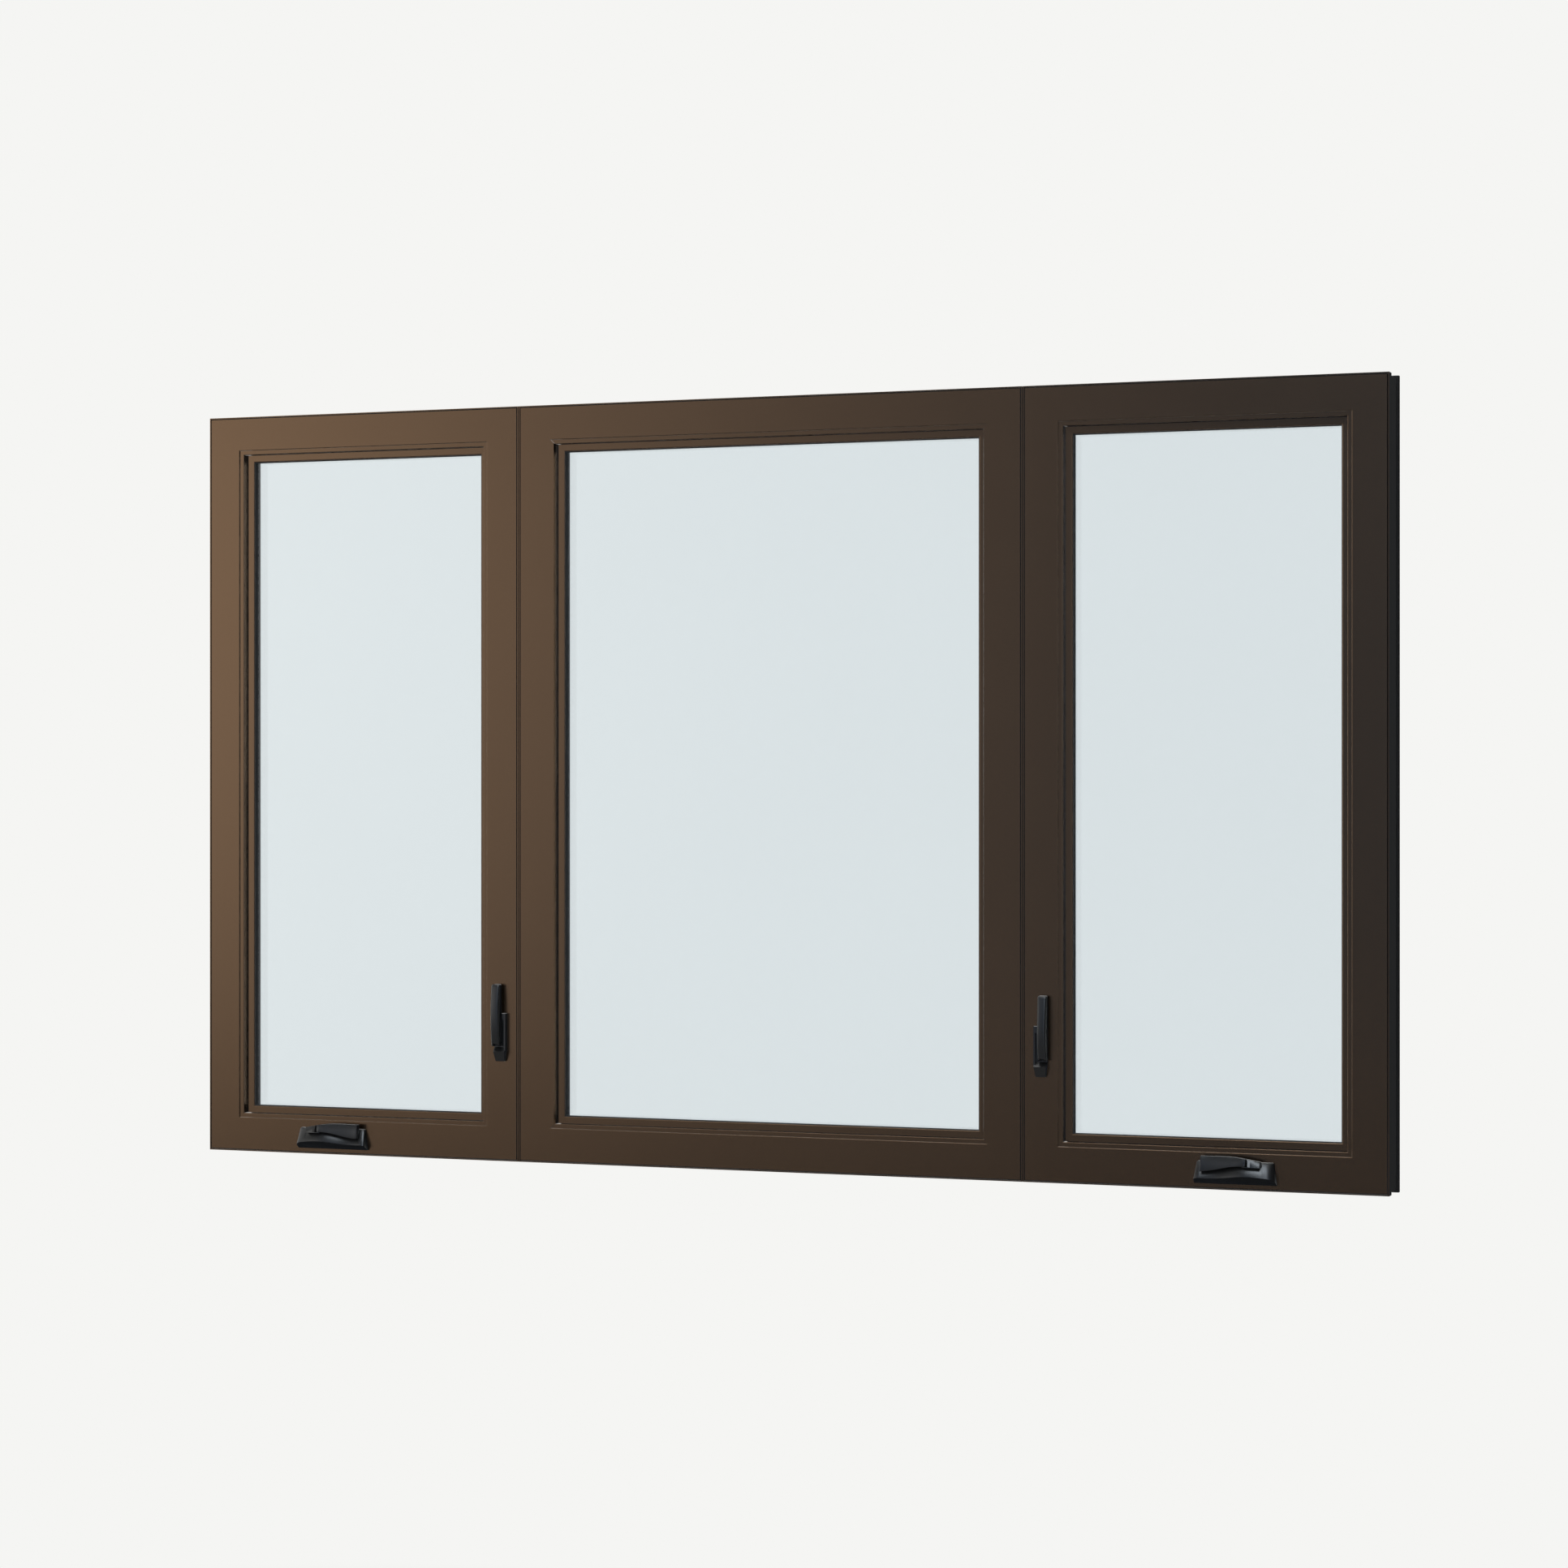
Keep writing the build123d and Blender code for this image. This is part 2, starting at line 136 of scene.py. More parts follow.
class Board:
    """A shader node tree under construction."""

    def __init__(self, tree: bpy.types.NodeTree) -> None:
        """Take the tree to build in."""
        self.tree = tree

    def feed(self, target: Socket, value: object) -> None:
        """Link a socket into an input, or set the input to a plain value.

        Args:
            target: The input.
            value: A socket, a number or a colour.
        """
        if isinstance(value, bpy.types.NodeSocket):
            self.tree.links.new(value, target)
        else:
            target.default_value = value

    def fill(self, node: bpy.types.Node, values: dict[str | int, object]) -> None:
        """Feed several inputs of a node, by name or number."""
        for key, value in values.items():
            self.feed(node.inputs[key], value)

    def add(self, kind: str, values: dict[str | int, object] | None = None,
            **settings: object) -> bpy.types.Node:
        """Add a node.

        Args:
            kind: Type of the node, without its ShaderNode prefix.
            values: What feeds its inputs, by name or number.
            settings: Properties of the node itself.

        Returns:
            The new node.
        """
        node = self.tree.nodes.new(f"ShaderNode{kind}")
        for name, setting in settings.items():
            setattr(node, name, setting)
        self.fill(node, values or {})
        return node

    def math(self, operation: str, first: object, second: object = 0.0) -> Socket:
        """Work out one number from two, each a socket or a plain number."""
        return self.add("Math", {0: first, 1: second}, operation=operation).outputs[0]

    def gap(self, first: object, second: object) -> Socket:
        """Work out how far apart two numbers are."""
        return self.math("ABSOLUTE", self.math("SUBTRACT", first, second))

    def between(self, value: Socket, low: float, high: float) -> Socket:
        """One where a number lies between two others, and nothing elsewhere."""
        above = self.math("GREATER_THAN", value, low)
        return self.math("MULTIPLY", above, self.math("LESS_THAN", value, high))

    def ramp(self, value: Socket, source: Span, result: Span = (0.0, 1.0)) -> Socket:
        """Turn one range of a value smoothly into another, and hold its ends beyond it."""
        sizes = {"Value": value, "From Min": source[0], "From Max": source[1], "To Min": result[0],
                 "To Max": result[1]}
        return self.add("MapRange", sizes, interpolation_type="SMOOTHSTEP").outputs["Result"]

    def tint(self, colour: Colour, factor: Socket) -> Socket:
        """Brighten or darken a linear colour by a factor."""
        return self.add("VectorMath", {0: colour, "Scale": factor}, operation="SCALE").outputs["Vector"]

    def place(self) -> Socket:
        """The point on the object, in its own coordinates."""
        return self.add("TexCoord").outputs["Object"]

    def seen(self) -> Socket:
        """One for what the camera sees, directly, in gloss or through glass, and nothing for soft light."""
        path = self.add("LightPath").outputs
        direct = self.math("MAXIMUM", path["Is Camera Ray"], path["Is Glossy Ray"])
        return self.math("MAXIMUM", direct, path["Is Transmission Ray"])

    def surface(self, shader: bpy.types.Node) -> None:
        """Make a shader the surface of the material."""
        self.feed(self.tree.nodes["Material Output"].inputs["Surface"], shader.outputs[0])


def new_material(name: str) -> tuple[Material, Board, bpy.types.Node]:
    """Begin a material.

    Args:
        name: Name of the material.

    Returns:
        The material, its board and the shader that it starts with.
    """
    material = bpy.data.materials.new(name)
    material.use_nodes = True
    return material, Board(material.node_tree), material.node_tree.nodes["Principled BSDF"]


def effect_group(name: str, numbers: tuple[str, ...], output: str) -> tuple[
        bpy.types.NodeTree, Board, bpy.types.bpy_prop_collection, Socket]:
    """Begin a node group that several finishes share.

    Args:
        name: Name of the group.
        numbers: Names of the numbers that it takes besides the place.
        output: Name of the number that it gives.

    Returns:
        The group, its board, the sockets that bring the inputs, and the socket that takes the result.
    """
    group = bpy.data.node_groups.new(name, "ShaderNodeTree")
    group.interface.new_socket("Place", in_out="INPUT", socket_type="NodeSocketVector")
    for label in numbers:
        group.interface.new_socket(label, in_out="INPUT", socket_type="NodeSocketFloat")
    group.interface.new_socket(output, in_out="OUTPUT", socket_type="NodeSocketFloat")
    entry = group.nodes.new("NodeGroupInput")
    leave = group.nodes.new("NodeGroupOutput")
    return group, Board(group), entry.outputs, leave.inputs[output]


def tone_drift() -> bpy.types.NodeTree:
    """Build the group that lets a tone wander a little over a surface.

    Returns:
        A group that takes a place, a scale and an amount, and gives a factor close to one.
    """
    group, board, entry, leave = effect_group("tone_drift", ("Scale", "Amount"), "Factor")
    cloud = board.add("TexNoise", {"Vector": entry["Place"], "Scale": entry["Scale"], "Detail": 3.0})
    swing = board.math("MULTIPLY", board.math("SUBTRACT", cloud.outputs["Fac"], 0.5), entry["Amount"])
    board.feed(leave, board.math("ADD", swing, 1.0))
    return group


def skin_relief() -> bpy.types.NodeTree:
    """Build the group that gives sprayed paint and rubber their fine relief.

    Returns:
        A group that takes a place, a scale and a share of grain, and gives a height.
    """
    group, board, entry, leave = effect_group("skin_relief", ("Scale", "Grain"), "Height")
    peel = board.add("TexNoise", {"Vector": entry["Place"], "Scale": entry["Scale"], "Detail": 1.0})
    fine = board.math("MULTIPLY", entry["Scale"], GRAIN_FINENESS)
    grain = board.add("TexNoise", {"Vector": entry["Place"], "Scale": fine, "Detail": 2.0})
    share = board.math("MULTIPLY", grain.outputs["Fac"], entry["Grain"])
    board.feed(leave, board.math("ADD", peel.outputs["Fac"], share))
    return group


TONE_DRIFT = tone_drift()
SKIN_RELIEF = skin_relief()


@dataclass(frozen=True)
class Skin:
    """A solid finish: a tone that wanders a little under a fine relief.

    Attributes:
        name: Name of the material.
        colour: Linear base colour.
        roughness: Mean roughness.
        metallic: Share of the base that reflects as metal.
        drift: How far the tone and the roughness wander.
        drift_scale: How many times a metre the tone wanders.
        relief_scale: How many times a metre the relief rises and falls.
        grain: Share of fine grain in the relief.
        bump: Strength of the relief.
        relief_depth: Height of the relief.
    """

    name: str
    colour: Colour
    roughness: float
    metallic: float = 0.0
    drift: float = 0.1
    drift_scale: float = 9.0
    relief_scale: float = 900.0
    grain: float = 0.3
    bump: float = 0.04
    relief_depth: float = 0.001

    def build(self) -> Material:
        """Make the material.

        Returns:
            The material.
        """
        material, board, shader = new_material(self.name)
        place = board.place()
        drift = board.add("Group", {"Place": place, "Scale": self.drift_scale, "Amount": self.drift},
                          node_tree=TONE_DRIFT)
        relief = board.add("Group", {"Place": place, "Scale": self.relief_scale, "Grain": self.grain},
                           node_tree=SKIN_RELIEF)
        bump = board.add("Bump", {"Height": relief.outputs["Height"], "Strength": self.bump,
                                  "Distance": self.relief_depth})
        factor = drift.outputs["Factor"]
        board.fill(shader, {"Base Color": board.tint(self.colour, factor), "Metallic": self.metallic,
                            "Roughness": board.math("MULTIPLY", factor, self.roughness),
                            "Normal": bump.outputs["Normal"]})
        self.finish(board, shader, place, factor)
        return material

    def finish(self, board: Board, shader: bpy.types.Node, place: Socket, factor: Socket) -> None:
        """Add what only one kind of finish has. A plain skin has nothing more."""


@dataclass(frozen=True)
class FramePaint(Skin):
    """The frame's bronze paint, with painted shade in its grooves and on the sides that a wall opening
    hides.

    Attributes:
        painted_shade_colour: Linear colour of the shade painted into the grooves and onto the sunk sides.
        painted_depth: How far behind the room face the paint runs round the edge.
        trim_depth: Depth of the outside trim, which is painted again.
        recess: How far the hidden sides stand back from the frame's edge.
        groove: Middle of the groove beside each unit's edge, from that edge.
        groove_half: Half of the width that counts as the groove.
        groove_lip: How far the paint reaches into the groove.
    """

    # colour of the painted shade in the grooves and on the sunk sides
    painted_shade_colour: Colour = (0.004, 0.0045, 0.005)
    painted_depth: float = 0.0126
    trim_depth: float = 0.012
    recess: float = 0.0055
    groove: float = 0.0025
    groove_half: float = 0.0014
    groove_lip: float = 0.0005

    def grooves(self, board: Board, across: Socket, upward: Socket) -> Socket:
        """Mark the grooves beside the units' edges and the gaps between the units.

        Args:
            board: Board of the material.
            across: Distance from the window's middle.
            upward: Distance from its mid height.

        Returns:
            One at a groove, and nothing elsewhere.
        """
        fixed_low, fixed_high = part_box("fixed_frame_sill")
        casement_low, casement_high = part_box("right_frame_sill")
        half_height = (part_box("fixed_frame_head")[1].z - fixed_low.z) / 2
        centres = (fixed_high.x - self.groove, (fixed_high.x + casement_low.x) / 2,
                   casement_low.x + self.groove, casement_high.x - self.groove)
        marks = [self.groove_mark(board, across, centre) for centre in centres]
        marks.append(self.groove_mark(board, upward, half_height - self.groove))
        total = marks[0]
        for mark in marks[1:]:
            total = board.math("MAXIMUM", total, mark)
        return total

    def groove_mark(self, board: Board, distance: Socket, centre: float) -> Socket:
        """Mark one groove by its distance from the middle."""
        return board.math("LESS_THAN", board.gap(distance, centre), self.groove_half)

    def finish(self, board: Board, shader: bpy.types.Node, place: Socket, factor: Socket) -> None:
        """Paint dark, matte, non-metallic shade into the grooves and onto the sides sunk behind the room
        flange.

        Args:
            board: Board of the material.
            shader: Its shader.
            place: The point on the object.
            factor: How the tone wanders.
        """
        low, high = CAD_BOX
        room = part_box("fixed_frame_sill")[0].y
        middle = (low + high) / 2
        reach = (high - low) / 2
        split = board.add("SeparateXYZ", {0: place}).outputs
        across, upward = board.gap(split["X"], middle.x), board.gap(split["Z"], middle.z)
        side = board.math("GREATER_THAN", across, reach.x - self.recess)
        end = board.math("GREATER_THAN", upward, reach.z - self.recess)
        edge = room + self.painted_depth
        sunk = board.between(split["Y"], edge, high.y - self.trim_depth)
        # painted shade: the sunk sides between the room flange and the outside trim
        shaded_sides = board.math("MULTIPLY", board.math("MAXIMUM", side, end), sunk)
        marks = self.grooves(board, across, upward)
        groove = board.math("MULTIPLY", marks, board.between(split["Y"], room + self.groove_lip, edge))
        # painted shade: the grooves and the sunk sides turn dark, matte and not metallic
        painted_shade_mask = board.math("MAXIMUM", shaded_sides, groove)
        tones = {"Factor": painted_shade_mask, "A": board.tint(self.colour, factor), "B": (*self.painted_shade_colour, 1.0)}
        colour = board.add("Mix", tones, data_type="RGBA")
        painted = board.math("MULTIPLY", factor, self.roughness)
        board.fill(shader, {"Base Color": colour.outputs["Result"],
                            "Metallic": board.math("SUBTRACT", self.metallic, painted_shade_mask),
                            "Roughness": board.math("MAXIMUM", painted, painted_shade_mask)})


@dataclass(frozen=True)
class PaneGlass:
    """Clear float glass with a faint grey-green tint.

    Attributes:
        name: Name of the material.
        colour: Linear tint.
        drift: How far the tint wanders.
        drift_scale: How many times a metre it wanders.
    """

    name: str
    colour: Colour
    drift: float = 0.012
    drift_scale: float = 2.5

    def build(self) -> Material:
        """Make the material.

        Returns:
            The material.
        """
        material, board, shader = new_material(self.name)
        wander = {"Place": board.place(), "Scale": self.drift_scale, "Amount": self.drift}
        drift = board.add("Group", wander, node_tree=TONE_DRIFT)
        board.fill(shader, {"Base Color": board.tint(self.colour, drift.outputs["Factor"]),
                            "Roughness": 0.0, "Transmission Weight": 1.0})
        return material


FINISHES: dict[Slot, Skin | PaneGlass] = {
    # the bronze paint also carries painted shade in the frame's grooves and sunk sides
    Slot.BRONZE: FramePaint("bronze_paint", (0.125, 0.0785, 0.047), 0.25, metallic=1.0, drift=0.06),
    Slot.HARDWARE: Skin("casting_paint", (0.007, 0.0075, 0.008), 0.3, drift=0.12, drift_scale=40.0,
                        bump=0.05),
    Slot.GLASS: PaneGlass("pane_glass", (0.88, 0.917, 0.935)),
    Slot.SPACER: Skin("spacer_rubber", (0.012, 0.012, 0.013), 0.7, relief_scale=1500.0, grain=1.0,
                      bump=0.15),
}


@dataclass(frozen=True)
class Curve:
    """A smooth curve through points, with a given slope at each end.

    Attributes:
        points: The points, in order of their place along the curve's run.
        start: Slope at the first point.
        end: Slope at the last point.
    """

    points: tuple[Span, ...]
    start: float
    end: float

    @cached_property
    def slopes(self) -> np.ndarray:
        """The slope at each point, so that the curve bends evenly through it.

        Returns:
            One slope a point.
        """
        run, rise = np.array(self.points).T
        step = np.diff(run)
        pitch = np.diff(rise) / step
        count = len(run)
        matrix = np.eye(count)
        sums = np.array([self.start] + [0.0] * (count - 2) + [self.end])
        for i in range(1, count - 1):
            matrix[i, i - 1:i + 2] = step[i], 2 * (step[i - 1] + step[i]), step[i - 1]
            sums[i] = 3 * (step[i] * pitch[i - 1] + step[i - 1] * pitch[i])
        return np.linalg.solve(matrix, sums)

    def at(self, place: float) -> float:
        """Find the curve's height.

        Args:
            place: Place along the run. Beyond the ends, the height stays what it is there.

        Returns:
            The height.
        """
        run, rise = np.array(self.points).T
        place = min(max(place, run[0]), run[-1])
        i = min(int(np.searchsorted(run, place, side="right")) - 1, len(run) - 2)
        step = run[i + 1] - run[i]
        t = (place - run[i]) / step
        first = rise[i] * (1 + 2 * t) * (1 - t) ** 2 + rise[i + 1] * t * t * (3 - 2 * t)
        second = self.slopes[i] * t * (1 - t) ** 2 - self.slopes[i + 1] * t * t * (1 - t)
        return float(first + second * step)


def near(first: float, second: float) -> bool:
    """Whether two places are the same."""
    return abs(first - second) < TOUCH


def runs(edge: bmesh.types.BMEdge, axis: Axis) -> bool:
    """Whether an edge runs along an axis."""
    way = edge.verts[1].co - edge.verts[0].co
    return abs(way[axis.value]) > ALONG * way.length


def middle(edge: bmesh.types.BMEdge) -> Vector:
    """The middle of an edge."""
    return (edge.verts[0].co + edge.verts[1].co) / 2


def folds(edge: bmesh.types.BMEdge) -> bool:
    """Whether the faces at an edge stand at a clear angle."""
    return edge.calc_face_angle(0.0) > math.radians(SHARP)


def corner_at(**place: float) -> Test:
    """Make a test for corners at a place along the named axes."""
    return lambda vert: all(near(getattr(vert.co, axis), value) for axis, value in place.items())


def edge_at(along: Axis, **place: float) -> Test:
    """Make a test for edges that run along an axis, with their middle at a place along the named axes."""
    return lambda edge: runs(edge, along) and all(
        near(getattr(middle(edge), axis), value) for axis, value in place.items())


def upper_edge(height: float, rear: float) -> Test:
    """Make a test for the sharp edges round the top of a casting, but for the one along its back."""
    return lambda edge: (folds(edge) and near(middle(edge).z, height)
                         and middle(edge).y < rear - TOUCH)


def activate(piece: Piece) -> None:
    """Select one piece alone, for the next operator."""
    bpy.ops.object.select_all(action="DESELECT")
    piece.select_set(True)
    bpy.context.view_layer.objects.active = piece


def settle(name: str) -> Piece:
    """Name the primitive that was just added, and put its place and size into its mesh.

    Args:
        name: Name of the piece.

    Returns:
        The piece.
    """
    piece = bpy.context.object
    piece.name = name
    piece.data.name = name
    bpy.ops.object.transform_apply(location=True, rotation=True, scale=True)
    return piece


def start_piece(name: str, add: Callable[..., object], **sizes: object) -> Piece:
    """Start a piece from one of the primitives, with the sizes that it takes."""
    bpy.ops.object.select_all(action="DESELECT")
    add(**sizes)
    return settle(name)


def block(name: str, low: Point, high: Point, turn: Point = (0.0, 0.0, 0.0)) -> Piece:
    """Start a piece from a block between two corners, turned about its own middle."""
    size = Vector(high) - Vector(low)
    return start_piece(name, bpy.ops.mesh.primitive_cube_add, size=1.0, location=Vector(low) + size / 2,
                       rotation=turn, scale=size)


def rod(name: str, centre: Point, axis: Axis, radius: float, length: float) -> Piece:
    """Start a piece from a round bar that lies along X or Z about a point."""
    turn = (0.0, math.pi / 2, 0.0) if axis is Axis.X else (0.0, 0.0, 0.0)
    return start_piece(name, bpy.ops.mesh.primitive_cylinder_add, vertices=ROD_SIDES, radius=radius,
                       depth=length, location=centre, rotation=turn)


@contextmanager
def editing(piece: Piece) -> Iterator[None]:
    """Hold one piece in edit mode."""
    activate(piece)
    bpy.ops.object.mode_set(mode="EDIT")
    yield
    bpy.ops.object.mode_set(mode="OBJECT")


def pick(piece: Piece, kind: Pick, test: Test) -> None:
    """Select the corners or edges that pass a test, and nothing else.

    Args:
        piece: The piece that is being edited.
        kind: What is selected.
        test: Whether one corner or edge is wanted.
    """
    bpy.ops.mesh.select_mode(type=kind.name)
    bpy.ops.mesh.select_all(action="DESELECT")
    mesh = bmesh.from_edit_mesh(piece.data)
    for item in getattr(mesh, kind.value):
        if test(item):
            item.select_set(True)
    mesh.select_flush_mode()
    bmesh.update_edit_mesh(piece.data)


def places(piece: Piece, axis: Axis) -> list[float]:
    """List the places of an edited piece's corners along an axis, in order, each once."""
    mesh = bmesh.from_edit_mesh(piece.data)
    return sorted({round(vert.co[axis.value], 6) for vert in mesh.verts})


def shift(piece: Piece, test: Test, offset: Point) -> None:
    """Move those of an edited piece's corners that pass a test."""
    pick(piece, Pick.VERT, test)
    bpy.ops.transform.translate(value=offset)


def stretch(piece: Piece, test: Test, scale: Point, centre: Point) -> None:
    """Stretch those of an edited piece's corners that pass a test away from a point."""
    pick(piece, Pick.VERT, test)
    bpy.ops.transform.resize(value=scale, center_override=centre)


def round_edges(piece: Piece, test: Test, radius: float, steps: int) -> None:
    """Round those of an edited piece's edges that pass a test, in a number of facets."""
    pick(piece, Pick.EDGE, test)
    bpy.ops.mesh.bevel(offset_type="OFFSET", offset=radius, segments=steps, affect="EDGES")


def split_at(height: float) -> None:
    """Cut all faces of the edited piece along a level plane."""
    bpy.ops.mesh.select_all(action="SELECT")
    bpy.ops.mesh.bisect(plane_co=(0.0, 0.0, height), plane_no=(0.0, 0.0, 1.0))


def trim(point: Point, keep: Point) -> None:
    """Cut the edited piece off at a plane, close the cut and keep the side that a direction points to."""
    bpy.ops.mesh.select_all(action="SELECT")
    bpy.ops.mesh.bisect(plane_co=point, plane_no=Vector(keep).normalized(), use_fill=True, clear_inner=True)


def modify(piece: Piece, kind: str, **settings: object) -> None:
    """Put a modifier on a piece and apply it.

    Args:
        piece: The piece.
        kind: Type of the modifier.
        settings: Its properties.
    """
    modifier = piece.modifiers.new(kind, kind)
    for name, setting in settings.items():
        setattr(modifier, name, setting)
    activate(piece)
    bpy.ops.object.modifier_apply(modifier=modifier.name)


def combine(piece: Piece, tool: Piece, way: Join = Join.UNION) -> None:
    """Work a second shape into a piece, and use it up."""
    modify(piece, "BOOLEAN", operation=way.value, solver="MANIFOLD", object=tool)
    bpy.data.meshes.remove(tool.data)


def smooth(piece: Piece) -> None:
    """Smooth the shading of a piece, but for its sharp edges."""
    activate(piece)
    bpy.ops.object.shade_smooth_by_angle(angle=math.radians(SHARP))


def soften(piece: Piece, radius: float) -> None:
    """Break the sharp edges of a finished shape by a radius, and smooth its shading."""
    modify(piece, "BEVEL", width=radius, segments=SOFT_STEPS, limit_method="ANGLE",
           angle_limit=math.radians(SHARP), use_clamp_overlap=True)
    smooth(piece)


def face_outwards() -> None:
    """Turn all faces of the edited piece outwards."""
    bpy.ops.mesh.select_all(action="SELECT")
    bpy.ops.mesh.normals_make_consistent(inside=False)


def mirrored(piece: Piece, name: str) -> Piece:
    """Copy a piece to the other side of the window.

    Args:
        piece: The piece of the right-hand side.
        name: Name of the copy.

    Returns:
        The copy, with its own mesh.
    """
    twin = piece.copy()
    twin.data = piece.data.copy()
    bpy.context.scene.collection.objects.link(twin)
    twin.scale.x = -1.0
    activate(twin)
    settle(name)
    with editing(twin):
        face_outwards()
    return twin


def aimed(name: str, data: bpy.types.ID, place: Point, target: Point) -> Piece:
    """Set up a camera or a lamp.

    Args:
        name: Its name.
        data: The camera or the lamp.
        place: Where it stands or hangs.
        target: What it points at.

    Returns:
        The object that carries it.
    """
    holder = bpy.data.objects.new(name, data)
    bpy.context.scene.collection.objects.link(holder)
    holder.location = place
    holder.rotation_euler = (Vector(target) - Vector(place)).to_track_quat("-Z", "Y").to_euler()
    return holder


def joint_place(name: str) -> Vector:
    """Find where a joint of the record turns."""
    joints = frame["record"]["behaviour"]["joints"]
    return next(Vector(joint["pos_m"]) for joint in joints if joint["name"] == name)


class Paintshop:
    """The finishes, made once, and the ways to put them on."""

    def __init__(self) -> None:
        """Make every finish."""
        self.materials = {slot: finish.build() for slot, finish in FINISHES.items()}

    def dress(self, piece: Piece, slot: Slot) -> None:
        """Give a piece its finish.

        Args:
            piece: The piece.
            slot: Its slot in the record.
        """
        if not piece.material_slots:
            piece.data.materials.append(None)
        for holder in piece.material_slots:
            holder.material = self.materials[slot]

    def dress_nodes(self) -> None:
        """Give every piece of the CAD model the finish of its slot. Only the panes show in gloss."""
        for row in frame["record"]["subparts"]:
            node, slot = frame["nodes"][row["node"]], Slot(row["material_slot"])
            self.dress(node, slot)
            node.visible_glossy = slot is Slot.GLASS

    def fit(self, piece: Piece, slot: Slot, body: str, node: str | None = None) -> None:
        """Give a new piece its finish and its place in the model.

        Args:
            piece: The piece.
            slot: Its slot in the record.
            body: The body that it moves with.
            node: The CAD node that it stands for, if any.
        """
        self.dress(piece, slot)
        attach(piece, body)
        if node:
            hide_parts(node)
        log.info("%s moves with %s", piece.name, body)

    def fit_pair(self, piece: Piece, node: str, moves: bool = False) -> None:
        """Fit a right-hand casting and its mirror image.

        Args:
            piece: The right-hand casting.
            node: The CAD node that it stands for, without the word for its side.
            moves: Whether it moves as a body of its own.
        """
        pieces = {Hand.RIGHT: piece, Hand.LEFT: mirrored(piece, piece.name.replace("right", "left", 1))}
        for hand, made in pieces.items():
            name = f"{hand.value}_{node}"
            self.fit(made, Slot.HARDWARE, name if moves else "window", name)


